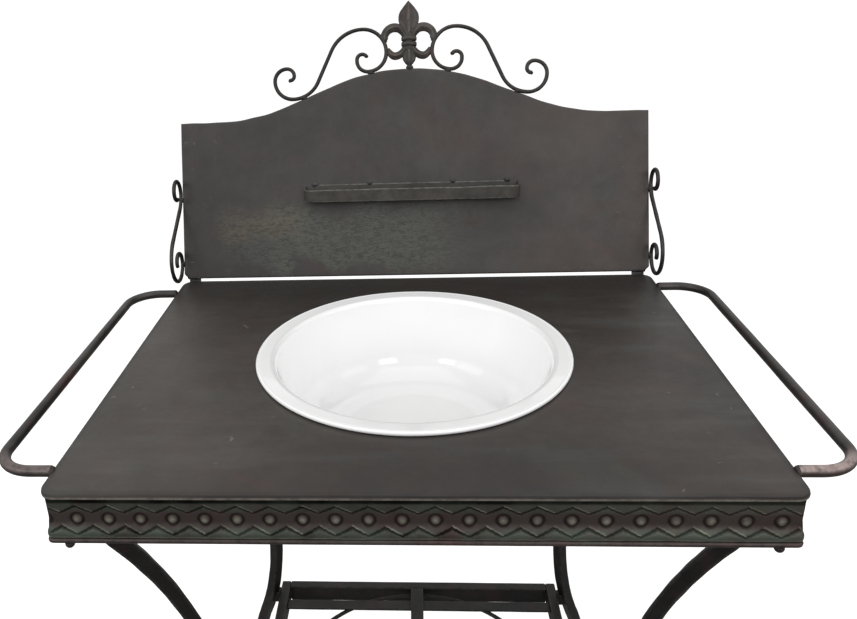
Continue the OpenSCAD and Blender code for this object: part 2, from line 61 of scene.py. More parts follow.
camera = placed("camera", bpy.data.cameras.new("camera"))
bpy.context.scene.camera = camera
camera.data.sensor_width = 36
camera.data.lens = 34.215
camera.data.shift_x = 0.0819
camera.data.shift_y = 0.0006
camera.data.clip_start = 0.05
camera.data.clip_end = 200
down, turn, tip = np.radians([23.16, -4.425, -2.542])
ahead = np.array([np.sin(turn) * np.cos(down), np.cos(turn) * np.cos(down), -np.sin(down)])
level = np.array([np.cos(turn), -np.sin(turn), 0])
above = np.cross(level, ahead)
camera_axes = np.stack([np.cos(tip) * level + np.sin(tip) * above,
                        np.cos(tip) * above - np.sin(tip) * level, -ahead], axis=1)
camera_place = (0.0045, -0.8196, 1.1787)
camera.matrix_world = Matrix.Translation(camera_place) @ Matrix(camera_axes.tolist()).to_4x4()


def give(tree, node, inputs):
    """Gives a node its inputs, each as a number, a colour or another node's output."""
    for key, value in inputs.items():
        if isinstance(value, bpy.types.NodeSocket):
            tree.links.new(value, node.inputs[key])
        else:
            node.inputs[key].default_value = value


def add(tree, kind, inputs=None, **settings):
    """Adds a node of a kind, with its settings and its inputs."""
    node = tree.nodes.new(kind)
    for key, value in settings.items():
        setattr(node, key, value)
    give(tree, node, inputs or {})
    return node


def axes(tree, place):
    """The three coordinates of a place."""
    return add(tree, "ShaderNodeSeparateXYZ", {0: place}).outputs[:]


def step(tree, value, start, end, low=0.0, high=1.0):
    """Rises smoothly from low to high while the value goes from start to end."""
    return add(tree, "ShaderNodeMapRange", {0: value, 1: start, 2: end, 3: low, 4: high},
               interpolation_type="SMOOTHSTEP").outputs[0]


def new_finish(name):
    """A new material, with its node tree and its surface node."""
    finish = bpy.data.materials.new(name)
    finish.use_nodes = True
    return finish, finish.node_tree, finish.node_tree.nodes["Principled BSDF"]


room = bpy.data.worlds.new("white_room")
bpy.context.scene.world = room
room.use_nodes = True
sky = room.node_tree
height = axes(sky, add(sky, "ShaderNodeTexCoord").outputs["Generated"])[2]
give(sky, sky.nodes["Background"], {"Color": step(sky, height, -0.35, 0.35, 0.30), "Strength": 0.72})


def soft_light(name, place, towards, size, power):
    """A square light panel at a place, turned so that it shines towards a point."""
    lamp = bpy.data.lights.new(name, "AREA")
    lamp.shape, lamp.size, lamp.energy = "SQUARE", size, power
    panel = placed(name, lamp)
    aim = Matrix.Translation(place).to_translation() - Matrix.Translation(towards).to_translation()
    panel.matrix_world = Matrix.Translation(place) @ aim.to_track_quat("Z", "Y").to_matrix().to_4x4()


soft_light("overhead_light", (0.0, -0.5, 3.0), (0, 0, 0.8), 2.4, 15)
soft_light("left_light", (-2.4, -1.2, 2.0), (0, 0, 0.8), 1.4, 7.5)
soft_light("right_light", (2.4, -1.0, 1.9), (0, 0, 0.8), 1.4, 5)
soft_light("front_left_light", (-1.7, -2.3, 2.1), (0, 0, 0.85), 0.9, 7)
soft_light("front_right_light", (1.2, -2.4, 2.1), (0, 0, 0.85), 0.9, 8.5)

paper, tree, surface = new_finish("white_paper")
give(tree, surface, {"Base Color": (0.95, 0.95, 0.95, 1), "Roughness": 0.9, "Specular IOR Level": 0.1,
                     "Emission Color": (1, 1, 1, 1), "Emission Strength": 0.36})
floor_mesh = bpy.data.meshes.new("floor")
floor_mesh.from_pydata([(-60, -60, 0), (60, -60, 0), (60, 60, 0), (-60, 60, 0)], [], [(0, 1, 2, 3)])
floor_mesh.materials.append(paper)
floor = placed("floor", floor_mesh)
floor.visible_diffuse = floor.visible_glossy = False


# ---- Top sheet ----
# The table top is a plate of sheet iron with a round hole for the bowl. Its edge was dressed by hand,
# so it is softly rounded and a little uneven, and its brown-black patina is rubbed light along the edge. That
# band is also painted light as a highlight, and the shoulder above it and the foot below it are painted dark
# as shade.

low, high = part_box("top_sheet")
middle = np.array([0.0, (low.y + high.y) / 2, high.z])
MM = 0.001
sheet_w, sheet_d, sheet_t = (high.x - low.x) / MM, (high.y - low.y) / MM, (high.z - low.z) / MM
hole_r, bowl_back, sheet_corner = 152.2, 12.0, 14.0


def own_place(tree):
    """The piece's own coordinates, in metres of the stand's frame."""
    return add(tree, "ShaderNodeTexCoord").outputs["Object"]


def stretched(tree, scale, turn=0.0):
    """The piece's own coordinates, turned about the upright axis and scaled along each axis."""
    return add(tree, "ShaderNodeMapping", {"Vector": own_place(tree), "Rotation": (0, 0, turn),
                                           "Scale": scale}).outputs[0]


def noise(tree, scale, seed, detail=5.0, rough=0.6, place=None, warp=0.0):
    """A cloud pattern on the piece's own coordinates, or on a place, as a factor from 0 to 1."""
    inputs = {"Scale": scale, "W": seed, "Detail": detail, "Roughness": rough, "Distortion": warp}
    inputs["Vector"] = place or own_place(tree)
    return add(tree, "ShaderNodeTexNoise", inputs, noise_dimensions="4D").outputs["Fac"]


def maths(tree, operation, *values):
    """One step of arithmetic on factors."""
    return add(tree, "ShaderNodeMath", dict(enumerate(values)), operation=operation).outputs[0]


def times(tree, factor, *others):
    """The product of several factors."""
    for other in others:
        factor = maths(tree, "MULTIPLY", factor, other)
    return factor


def mix(tree, factor, a, b):
    """Colour a where the factor is 0 and colour b where it is 1."""
    return add(tree, "ShaderNodeMix", {0: factor, 6: a, 7: b}, data_type="RGBA").outputs[2]


def colour(red, green, blue):
    """A colour given as it looks on a screen, from 0 to 255, as the light that it sends back."""
    c = np.array([red, green, blue]) / 255
    return (*np.where(c < 0.04045, c / 12.92, ((c + 0.055) / 1.055) ** 2.4).tolist(), 1.0)


def mark(tree, name):
    """A value from 0 to 1 that the piece's mesh carries at each point."""
    return add(tree, "ShaderNodeAttribute", attribute_name=name).outputs["Fac"]


def patinated_iron(name, dark, light, rust=0.5, bloom=0.4, edge=(126, 120, 114), gloss=0.45, rough=0.14,
                   grain=1.0, mottle=1.0, whole=0.0, deep=0.0, extra=None):
    """Iron that was blackened, browned and waxed: two browns in clouds, reddish rust and grey-green bloom
    in patches, near-black where the mesh is marked for wax and shade, which is dull dark wax in hollows and
    painted shade in grooves, under edges and under parts, and bare metal where the mesh is marked as worn,
    which in places is also a painted highlight. whole says how much of the bare metal is left between the
    spots that broke it up, and deep how far the marked dark places are also made metallic, so that almost no
    light comes back from them, as painted shade."""
    iron, tree, surface = new_finish(name)
    clouds = noise(tree, 6.5, 1.0, 6.0, 0.62, warp=0.4)
    specks = noise(tree, 75.0, 2.0, 6.0, 0.68)
    fine = noise(tree, 620.0, 3.0, 3.0, 0.6)
    tone = mix(tree, step(tree, clouds, 0.36, 0.64), colour(*dark), colour(*light))
    tone = mix(tree, step(tree, specks, 0.38, 0.68, 0.0, 0.5 * mottle), tone, colour(*[c * 0.62 for c in dark]))
    red_rust, grey_green, black_wax_and_shade, bare = (72, 47, 43), (86, 91, 80), (15, 14, 11), 0.25
    for amount, tint, scale, seed, warp, full in ((rust, red_rust, 15.0, 4.0, 0.8, 0.66),
                                                  (bloom, grey_green, 10.0, 5.0, 0.6, 0.68)):
        patches = step(tree, noise(tree, scale, seed, 7.0, 0.7, warp=warp), 0.50, full)
        tone = mix(tree, times(tree, patches, amount), tone, colour(*tint))
    # Near-black where the mesh is marked: dark wax in hollows, and painted shade in grooves, under edges and under
    # parts
    recess = times(tree, mark(tree, "recess"), 0.95)
    tone = mix(tree, recess, tone, colour(*black_wax_and_shade))
    if extra:
        tone = extra(tree, tone)
    worn = times(tree, mark(tree, "worn"), step(tree, noise(tree, 130.0, 6.0, 5.0, 0.65), 0.36, 0.6, whole))
    polish = step(tree, noise(tree, 28.0, 7.0, 7.0, 0.7), 0.3, 0.7, gloss - rough / 2, gloss + rough / 2)
    relief = add(tree, "ShaderNodeBump", {"Strength": 0.35 * grain, "Distance": 0.0004, "Height": specks})
    relief = add(tree, "ShaderNodeBump", {"Strength": 0.3 * grain, "Distance": 0.0001, "Height": fine,
                                          "Normal": relief.outputs[0]})
    give(tree, surface, {"Base Color": mix(tree, worn, tone, colour(*edge)), "Metallic": bare,
                         "Roughness": maths(tree, "MULTIPLY_ADD", recess, 0.5, polish),
                         "Specular IOR Level": 0.5, "Normal": relief.outputs[0]})
    # With deep, the marked places turn metallic too, so that their near-black sends back almost no reflection:
    # painted shade
    if deep:
        give(tree, surface, {"Metallic": maths(tree, "MULTIPLY_ADD", recess, deep, bare)})
    return iron


def points_of(*coordinates):
    """Coordinates put together as points. A single number stands for all of them."""
    return np.stack(np.broadcast_arrays(*coordinates), axis=-1)


def full_turn(count):
    """Angles evenly round a circle."""
    return np.linspace(0, 2 * np.pi, count, endpoint=False)


def ripple(points, size, seed):
    """Smooth unevenness from about -1 to 1: the mean of eight plane waves in scattered directions,
    each about size long, at points given in millimetres."""
    rng = np.random.default_rng(abs(seed))
    direction = rng.normal(size=(8, 3))
    direction /= np.linalg.norm(direction, axis=1, keepdims=True)
    length = size * rng.uniform(0.7, 1.6, 8)
    phase = rng.uniform(0, 2 * np.pi, 8)
    return np.sin(2 * np.pi * (points @ direction.T) / length + phase).sum(-1) / 3.2


def skin(name, grid, around=False, along=False, **marks):
    """A surface through a grid of points (rows, columns, 3), in metres: each face joins four neighbours.
    around joins the last column to the first, and along the last row to the first. Rows that shrink to a
    point are closed there, and the faces are turned outwards."""
    rows, columns = grid.shape[:2]
    number = np.arange(rows * columns).reshape(rows, columns)
    if around:
        number = np.concatenate([number, number[:, :1]], axis=1)
    if along:
        number = np.concatenate([number, number[:1]], axis=0)
    corners = np.stack([number[:-1, :-1], number[:-1, 1:], number[1:, 1:], number[1:, :-1]], axis=-1)
    corners = corners.reshape(-1, 4)
    mesh = bpy.data.meshes.new(name)
    mesh.vertices.add(rows * columns)
    mesh.vertices.foreach_set("co", np.ascontiguousarray(grid, np.float32).ravel())
    mesh.loops.add(corners.size)
    mesh.loops.foreach_set("vertex_index", corners.ravel().astype(np.int32))
    mesh.polygons.add(len(corners))
    mesh.polygons.foreach_set("loop_start", np.arange(0, corners.size, 4, dtype=np.int32))
    for key in ("worn", "recess"):
        value = np.broadcast_to(marks.get(key, 0.0), (rows, columns)).astype(np.float32)
        mesh.attributes.new(key, "FLOAT", "POINT").data.foreach_set("value", value.ravel())
    mesh.update(calc_edges=True)
    mesh.validate()
    work = bmesh.new()
    work.from_mesh(mesh)
    bmesh.ops.remove_doubles(work, verts=work.verts, dist=2e-6)
    bmesh.ops.recalc_face_normals(work, faces=work.faces)
    work.to_mesh(mesh)
    work.free()
    mesh.polygons.foreach_set("use_smooth", np.ones(len(mesh.polygons), bool))
    return placed(name, mesh)


def joined(name, pieces):
    """Several surfaces made into one piece."""
    work = bmesh.new()
    for piece in pieces:
        work.from_mesh(piece.data)
        bpy.data.objects.remove(piece)
    mesh = bpy.data.meshes.new(name)
    work.to_mesh(mesh)
    work.free()
    return placed(name, mesh)


def capped(grid):
    """The grid with a row more at each end, shrunk to the middle of the end row, so that it is closed."""
    ends = np.broadcast_to(grid[[0, -1]].mean(axis=1, keepdims=True), (2, *grid.shape[1:]))
    return np.concatenate([ends[:1], grid, ends[1:]])


def raised(plan, height):
    """The points of a plan, at a height or at one each."""
    return np.append(plan, np.broadcast_to(height, len(plan))[:, None], axis=1)


def settle(piece, material, slot, *nodes, body="stand"):
    """Gives a piece its finish, lets it ride on its body and says which nodes it stands for."""
    piece.data.materials.clear()
    piece.data.materials.append(material)
    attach(piece, body)
    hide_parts(*nodes)


def rounded_outline(width, depth, radius, count):
    """Points round a rectangle with round corners, evenly by length: the heading is constant along the
    four sides and grows by a right angle along each corner, and the place is its running sum."""
    side = np.array([width - 2 * radius, depth - 2 * radius])
    bend = np.pi / 2 * radius
    stops = np.cumsum([0, side[0], bend, side[1], bend, side[0], bend, side[1], bend])
    s = (np.arange(count) + 0.5) / count * stops[-1]
    part = np.clip(np.searchsorted(stops, s, side="right") - 1, 0, 7)
    on = s - stops[part]
    quarter = part // 2
    start = np.pi / 2 * quarter
    angle = start + np.where(part % 2 == 1, on / radius, 0)
    half_w, half_d = side / 2
    centre = points_of(np.array([half_w, half_w, -half_w, -half_w])[quarter],
                       np.array([-half_d, half_d, half_d, -half_d])[quarter])
    ahead = points_of(np.cos(start), np.sin(start))
    back = np.where(part % 2 == 0, side[quarter % 2] - on, 0)[:, None]
    return centre + radius * points_of(np.sin(angle), -np.cos(angle)) - back * ahead


# The rounded edge, as shares of its softness inwards, heights below the face, how far it is rubbed and
# painted light as a highlight, and how dark it is painted as shade: a soft shoulder painted dark against its
# reflection, then a band that is rubbed and painted light as a highlight, and the foot painted dark as the shade
# under the sheet
edge_line = [(0.60, -0.2, 0.0, 0.3), (0.34, -0.7, 0.0, 0.5), (0.18, -1.5, 0.0, 0.55), (0.08, -2.4, 0.1, 0.4),
             (0.02, -3.1, 0.7, 0.0), (0.0, -3.8, 1.0, 0.0), (0.0, -4.4, 0.9, 0.0), (0.08, -4.8, 0.2, 0.8),
             (0.4, -5.0, 0.0, 1.0)]


def sheet_points():
    """A ring section carried round the table: out from the hole over the upper face, over the rounded
    edge, and back under the sheet. Each point goes from the hole's circle to the table's outline."""
    count, softness, shoulder_in = 720, 3.2, 1.4
    edge = rounded_outline(sheet_w, sheet_d, sheet_corner, count)
    angle = np.arctan2(edge[:, 1] - bowl_back, edge[:, 0])
    hole = points_of(hole_r * np.cos(angle), bowl_back + hole_r * np.sin(angle))
    away = (hole - [0, bowl_back]) / hole_r
    edge_wave = ripple(raised(edge, 0), 60, 3)
    soft = softness + 0.5 * edge_wave
    inward = rounded_outline(sheet_w - 2, sheet_d - 2, sheet_corner - 1, count) - edge
    inward /= np.linalg.norm(inward, axis=1, keepdims=True)
    rows = [(hole, 0.5 - sheet_t, 0.2, 0), (hole, -0.8, 0.2, 0), (hole + 0.4 * away, -0.15, 0.3, 0)]
    # The upper face, whose last row is painted a little dark as shade
    for f in np.linspace(0, 1, 36):
        place = (hole + 0.9 * away) * (1 - f) + (edge + inward * soft[:, None]) * f
        height = 0.14 * ripple(raised(place, 0), 190, 4) * min(1, 6 * f) * (1 - f ** 8)
        rows.append((place, height, 0, 0.25 * (f > 0.999)))
    for share, drop, rub_and_highlight, dark in edge_line:
        rows.append((edge + inward * (share * soft)[:, None], drop + 0.12 * edge_wave * (drop > -3), rub_and_highlight, dark))
    # Back under the sheet, painted dark as shade
    for f in np.linspace(0, 1, 5)[1:]:
        rows.append((hole * f + (edge + inward * shoulder_in) * (1 - f), -sheet_t, 0, 0.6))
    plan = np.stack([raised(place, height) for place, height, _, _ in rows])
    worn, dark = (np.stack([np.broadcast_to(row[k], count) for row in rows]) for k in (2, 3))
    return plan * MM + middle, worn, dark


def brushed_top_and_painted_light(tree, tone):
    """Long faint wipe marks; the top painted darker towards the back as shade, and lighter and greyer towards
    the front and the left as a painted sheen; and a darker place in the middle of the front."""
    place = own_place(tree)
    x, y, _ = axes(tree, place)
    wiped = noise(tree, 5.0, 8.0, 6.0, 0.65, stretched(tree, (1, 5, 1), 0.9), 0.3)
    tone = mix(tree, step(tree, wiped, 0.46, 0.74, 0.0, 0.45), tone, colour(84, 83, 80))
    # Painted shade: the top darkens towards the back
    near = step(tree, y, 0.14, 0.02, 0.35)
    tone = mix(tree, near, colour(40, 37, 35), tone)
    # Painted sheen: lighter and greyer at the front left
    left = times(tree, step(tree, x, -0.08, -0.26, 0.0, 0.22), near)
    tone = mix(tree, left, tone, colour(90, 86, 80))
    # A darker place in the middle of the front
    front_middle_dark = add(tree, "ShaderNodeVectorMath", {0: place, 1: (0.03, -0.3, 0.8)}, operation="DISTANCE")
    tone = mix(tree, step(tree, front_middle_dark.outputs["Value"], 0.2, 0.06, 0.0, 0.4), tone, colour(42, 40, 39))
    nicks = times(tree, step(tree, noise(tree, 85.0, 31.0, 2.0, 0.4, warp=1.2), 0.70, 0.76),
                  step(tree, noise(tree, 12.0, 32.0), 0.5, 0.62), 0.6)
    return mix(tree, nicks, tone, colour(132, 128, 120))


top_iron = patinated_iron("brushed_dark_iron", (52, 47, 44), (66, 60, 56), rust=0.35, bloom=0.15,
                          edge=(132, 125, 116), gloss=0.42, rough=0.12, mottle=0.4, whole=0.5, extra=brushed_top_and_painted_light)
points, worn, dark = sheet_points()
settle(skin("table_top", points, around=True, along=True, worn=worn, recess=dark), top_iron, "iron", "top_sheet")


# ---- Aprons ----
# Four strips of sheet iron, pressed in a die with a row of hexagons round raised buttons, run under the
# top and are welded to it. Each turns out at its foot in a hollow, with grey-green bloom above and below its
# row of buttons. Its grooves hold dark wax and painted shade, a painted shadow lies under the top's edge,
# and painted highlights run along the upper side of its lines.

overhang, apron_h, apron_t = 5.0, 44.0, 2.5
pitch, row_drop, row_shift = 26.3, 27.0, 4.3
bar_h, gap = 5.0, 0.15
# The zigzag's lowest distance from the buttons' row and its rise, the dome, and the ring groove round it
line_low, line_rise, button_r, button_h, ring_r, groove_deep = 6.1, 6.5, 4.4, 0.75, 5.1, 1.2
# The hollow begins at one height and turns in again below another
hollow_top, hollow_h, lip_top, hollow_out = -29.0, 11.0, -40.5, 3.9
strip_top, strip_foot = -sheet_t - gap, -sheet_t - apron_h + bar_h + gap


def pressed(x, y, length):
    """The die's relief over a strip's flat face, in millimetres. Narrow grooves follow two zigzag lines,
    high at each button and low between, and each button is a low dome inside a groove of its own. Returns
    the height, how deep in a groove a point lies, and how far it is painted light: a painted highlight along
    the upper side of each line where it runs down to the right, as lit from above, and on the tops of the
    domes a highlight that is partly painted light and partly rub."""
    count = (length - 2 * overhang) // pitch
    beside = ((x - row_shift) / pitch + (count % 2) / 2) % 1 - 0.5
    cell = np.abs(beside) * 2
    wave = line_low + line_rise * (1 - cell) + 0.3 * np.sin(x * 1.7) * np.sin(x * 0.31 + 1)
    lean = np.cos(np.arctan2(line_rise, pitch / 2))
    v = y + row_drop
    over_high, over_low = (v + 0.5 - wave) * lean, (v + 0.5 + wave) * lean
    to_line = np.minimum(np.abs(over_high), np.abs(over_low))
    to_button = np.hypot(beside * pitch, v)
    ends = np.clip((length / 2 - np.abs(x)) / 1.5, 0, 1)
    groove = np.maximum(np.exp(-(to_line / 0.85) ** 2), np.exp(-((to_button - ring_r) / 0.95) ** 2))
    button = button_h * np.sqrt(np.clip(1 - (to_button / button_r) ** 2, 0, 1))
    # Painted highlights along the upper side of the lines that run down to the right, broken up along the strip,
    # and on the dome tops, which are also rubbed
    rub_and_highlight = np.exp(-((np.where(beside > 0, over_high, over_low) - 1.5) / 0.7) ** 2)
    rub_and_highlight = rub_and_highlight * (0.6 + 0.4 * np.sin(x * 0.21 + 2) * np.sin(x * 0.047))
    rub_and_highlight = np.maximum(rub_and_highlight, 0.75 * np.clip(1.25 - to_button / 3.2, 0, 1))
    field = 0.2 * np.clip((np.abs(v) - wave) / 3, 0, 1)
    return (0.2 * rub_and_highlight + button - groove_deep * groove + field) * ends, groove * ends, rub_and_highlight * ends


def eased_corner(x, out, length, reach, radius):
    """Rounds the corner where two strips meet. Near the end of the strip, what stands out to the given
    reach is drawn in along a circle, and each row stops at the mitre."""
    to_end = length / 2 + reach - np.abs(x)
    drawn = radius - np.sqrt(np.clip(radius ** 2 - np.clip(radius - to_end, 0, radius) ** 2, 0, None))
    out = out - drawn * np.clip(out / reach, 0, 1)
    return np.sign(x) * np.minimum(np.abs(x), length / 2 - gap + np.clip(out, -apron_t, None)), out


def strip_grid(length, heights, facing):
    """A strip's closed section carried along it: down the pressed face, out through the hollow, and up
    the back. The hollow's depth grows as a smooth step on the way down and then turns in a little, and the
    ends are mitred."""
    y = np.concatenate([np.linspace(strip_top, strip_foot, heights), np.linspace(strip_foot, strip_top, 5)])
    hollow = np.clip((hollow_top - y) / hollow_h, 0, 1)
    lip = np.clip((lip_top - y) / (lip_top - strip_foot), 0, 1)
    out = hollow_out * hollow ** 2 * (3 - 2 * hollow) * (1 - 0.22 * lip ** 2)
    out[heights:] = -apron_t
    columns = int(length / 0.6)
    x = np.linspace(-1, 1, columns)[:, None] * (length / 2 - gap + np.clip(out, -apron_t, None))[None, :]
    face = (np.arange(len(y)) < heights) & (y < strip_top - 1)
    raised, groove, rub_and_highlight = pressed(x, y[None, :], length)
    keep = face * np.clip((y - strip_foot - 1.2) / 1.2, 0, 1)
    low_wave = 0.22 * ripple(points_of(x, y, 0), 34, 11 + facing) * face
    x, out = eased_corner(x, out[None, :] + raised * keep + low_wave, length, hollow_out, 5.0)
    foot_rub = np.clip(1 - np.abs(y - strip_foot - 1.4) / 1.4, 0, 1) * face * 0.6
    worn = np.maximum(rub_and_highlight * keep, foot_rub)
    # Dark wax and painted shade in the grooves, a painted shadow under the top's edge, and painted shade at the
    # strip's foot above the bar
    shade = np.maximum(groove ** 0.42 * keep, np.clip((7.2 - (strip_top - y)) / 1.8, 0, 1))
    shade = np.maximum(shade, np.clip(1 - (y - strip_foot) / 1.1, 0, 1) * face)
    return turned_out(x, out, y, facing), worn, shade


def turned_out(x, out, z, facing):
    """Points on the side of the table that faces an angle: x along it, out from the strip's flat face."""
    a = np.radians(facing)
    far = (sheet_d if facing % 180 == 0 else sheet_w) / 2 - overhang
    side, ahead = np.array([-np.cos(a), -np.sin(a), 0]), np.array([-np.sin(a), np.cos(a), 0])
    x, out, z = (part[..., None] for part in np.broadcast_arrays(x, far + out, z))
    return (x * side + out * ahead + z * np.array([0, 0, 1])) * MM + middle


def green_bloom(tree, tone):
    """A purple-brown belt along the row of buttons, in long patches, and grey-green bloom above it and
    more so below it."""
    x, _, height = axes(tree, own_place(tree))
    tone = mix(tree, step(tree, x, 0.0, 0.25, 0.0, 0.3), tone, colour(96, 94, 84))
    belt = times(tree, step(tree, height, 0.783, 0.778), step(tree, height, 0.763, 0.768))
    stretch = step(tree, noise(tree, 5.5, 33.0, 4.0, 0.6), 0.36, 0.6, 0.25, 0.95)
    tone = mix(tree, times(tree, belt, stretch), tone, colour(61, 48, 46))
    away = maths(tree, "SUBTRACT", 1.0, times(tree, belt, 0.75))
    low_part = times(tree, away, step(tree, height, 0.778, 0.757, 0.4, 1.0))
    patch = step(tree, noise(tree, 24.0, 9.0, 6.0, 0.65), 0.36, 0.6)
    return mix(tree, times(tree, patch, low_part, 0.85), tone, colour(78, 88, 77))


strip_iron = patinated_iron("pressed_green_iron", (54, 50, 45), (78, 74, 65), rust=0.6, bloom=0.35,
                            edge=(152, 151, 136), gloss=0.36, rough=0.14, whole=0.45, deep=0.75,
                            extra=green_bloom)
front_l, side_l = sheet_w - 2 * overhang, sheet_d - 2 * overhang
sides = (("front", 180, front_l), ("rear", 0, front_l), ("left", 90, side_l), ("right", -90, side_l))
for name, facing, length in sides:
    points, *marks = strip_grid(length, 74, facing)
    worn, shade = (np.pad(value, ((1, 1), (0, 0)), "edge") for value in marks)
    strip = skin("pressed_strip_" + name, capped(points), around=True, worn=worn, recess=shade)
    settle(strip, strip_iron, "embossed_iron", "apron_" + name)


# ---- Mouldings ----
# A half-round bar is welded along the foot of each strip, mitred at the corners. It stands a little
# proud of the hollow above it, and it is rubbed to a reddish brown.

bar_out = 4.5


def half_round(name, length, facing):
    """A closed section carried along the strip: flat above, a half circle in front, flat behind."""
    foot = -sheet_t - apron_h
    a = np.radians(np.linspace(90, -90, 11))
    r = bar_h / 2
    out = np.concatenate([np.linspace(-apron_t, bar_out - r, 5)[:-1], bar_out - r + r * np.cos(a),
                          np.linspace(bar_out - r, -apron_t, 5)[1:], [-apron_t, -apron_t]])
    z = foot + r + np.concatenate([np.full(4, r), r * np.sin(a), np.full(4, -r), [-r / 3, r / 3]])
    share = np.linspace(-1, 1, int(length / 3))
    share = np.sort(np.concatenate([share, np.linspace(0.975, 0.999, 10), np.linspace(-0.999, -0.975, 10)]))
    x = share[:, None] * (length / 2 - gap + out)[None, :]
    uneven = 1 + 0.03 * ripple(points_of(x, 0, 0), 45, 20 + facing)
    out = bar_out - r + (out - bar_out + r) * np.where(out > bar_out - r, uneven, 1)
    x, out = eased_corner(x, out, length, bar_out, 6.0)
    # A light line along the bar's upper front, rubbed and painted light as its highlight
    worn = np.clip(1 - np.abs(np.arange(len(z)) - 8) / 3, 0, 1) * 0.35
    return skin(name, capped(turned_out(x, out, z, facing)), around=True, worn=worn[None, :])


bar_iron = patinated_iron("rubbed_red_brown_iron", (44, 36, 35), (62, 50, 48), rust=0.8, bloom=0.35,
                          edge=(104, 92, 86), gloss=0.4)
for name, facing, length in sides:
    settle(half_round("half_round_bar_" + name, length, facing), bar_iron, "iron", "moulding_" + name)


# ---- Corner drops ----
# A small turned drop hangs under each end of the front and rear bars. It is a stub of round bar with a
# domed end, welded on from below.

def turned(profile, centre, count):
    """A surface of revolution: a profile of radius and height, in millimetres, turned round an upright
    axis through a centre given from the middle of the table top."""
    a, (r, z) = full_turn(count), np.asarray(profile, float).T[..., None]
    return points_of(r * np.cos(a) + centre[0], r * np.sin(a) + centre[1], z + centre[2]) * MM + middle


drop_foot, drop_inset = -sheet_t - apron_h - gap, 18
bend = np.radians(np.linspace(0, 90, 8))
drop_line = np.concatenate([[[0, 0], [3.6, 0], [4, -0.4], [3.9, -1.4], [4, -2]],
                            points_of(4 * np.cos(bend), -2 - 4 * np.sin(bend))[1:]])
drop_x, drop_y = sheet_w / 2 - drop_inset, sheet_d / 2 - overhang
drops = [skin("drop", turned(drop_line, (x * drop_x, y * drop_y, drop_foot), 28), around=True)
         for x in (-1, 1) for y in (-1, 1)]
settle(joined("turned_drops", drops), bar_iron, "iron", "corner_drops")


# ---- Basin ----
# The bowl is spun from sheet steel: flat floor, round wall, broad flange and a rolled bead round the rim.
# It is fused all over with white enamel, and it only hangs in the hole by its flange.

rim_r, bead_r, flange_w, bowl_t = 163.0, 2.25, 15.6, 1.8
floor_r, floor_bend, lip_bend, bowl_drop, rest = 86.0, 42.0, 4.5, 92.0, 0.3


def wander(parts, start, heading, every):
    """A path in the plane, as points and headings. Each part is a radius and a turn in degrees, left if
    positive, or no radius and a length. The heading grows evenly along a bend and stays along a straight,
    and the place is its running sum over very small steps."""
    lengths = np.array([a if r == 0 else r * np.radians(abs(a)) for r, a in parts], float)
    turns = np.array([0 if r == 0 else np.radians(a) for r, a in parts], float)
    stops = np.concatenate([[0], np.cumsum(lengths)])
    s = np.linspace(0, stops[-1], int(stops[-1] / 0.05) + 1)
    angle = np.radians(heading) + np.interp(s, stops, np.concatenate([[0], np.cumsum(turns)]))
    half = (angle[1:] + angle[:-1]) / 2
    path = np.zeros((len(s), 2))
    path[1:] = np.cumsum(points_of(np.cos(half), np.sin(half)) * (s[1] - s[0]), axis=0)
    pick = np.unique(np.round(np.linspace(0, len(s) - 1, max(2, int(stops[-1] / every)))).astype(int))
    return path[pick] + start, angle[pick]


bead = np.array([rim_r - bead_r, rest + bead_r])
flange_z = bead[1] + bead_r / 2
side, rise = rim_r - flange_w - floor_r, flange_z + bowl_drop - floor_bend - lip_bend
wall = np.sqrt(side ** 2 + rise ** 2 - (floor_bend + lip_bend) ** 2)
sweep = 90 - np.degrees(np.arctan2(side, rise)) + np.degrees(np.arctan2(floor_bend + lip_bend, wall))
line, angle = wander([(0, floor_r), (floor_bend, sweep), (0, wall), (lip_bend, -sweep), (0, flange_w - 2 * bead_r)],
                     (0, -bowl_drop), 0, 1.5)
normal = points_of(-np.sin(angle), np.cos(angle)) * bowl_t / 2
over = np.radians(180 - np.degrees(np.arcsin((bead_r + bowl_t) / 2 / bead_r)))
under = np.radians(np.degrees(np.arcsin((bead_r - bowl_t) / 2 / bead_r)) - 180)
roll = np.linspace(over, under, 22)
bowl_line = np.concatenate([line + normal, bead + bead_r * points_of(np.cos(roll), np.sin(roll)),
                            (line - normal)[::-1]])
basin = skin("enamelled_bowl", turned(bowl_line, (0, bowl_back, 0), 160), around=True)

# By the distance from the bowl's axis, in metres, the flange away from the front, the bends, the bead and the
# wall each get a white of their own, painted as light and shade: the wall brightest as if lit by the light
# thrown round the bowl, the floor, the bends and the front of the flange greyer as painted shade, the rest of
# the flange lighter, and the bead painted bright as its highlight
white, tree, glaze = new_finish("white_enamel")
to_bowl = (0, -(middle[1] + bowl_back * MM), 0)
off_axis = add(tree, "ShaderNodeVectorMath", {0: own_place(tree), 1: to_bowl}).outputs[0]
flat_off = add(tree, "ShaderNodeVectorMath", {0: off_axis, 1: (1, 1, 0)}, operation="MULTIPLY").outputs[0]
radius = add(tree, "ShaderNodeVectorMath", {0: flat_off}, operation="LENGTH").outputs["Value"]
bend = times(tree, step(tree, radius, 0.072, 0.080), step(tree, radius, 0.1495, 0.1455))
wall = times(tree, step(tree, radius, 0.098, 0.138), step(tree, radius, 0.148, 0.142))
outer = times(tree, step(tree, radius, 0.1455, 0.1495), step(tree, axes(tree, off_axis)[1], -0.19, -0.03))
shade = step(tree, noise(tree, 9.0, 1.0, 3.0, 0.5), 0.3, 0.7)
tone = mix(tree, shade, (0.73, 0.73, 0.73, 1), (0.77, 0.77, 0.765, 1))
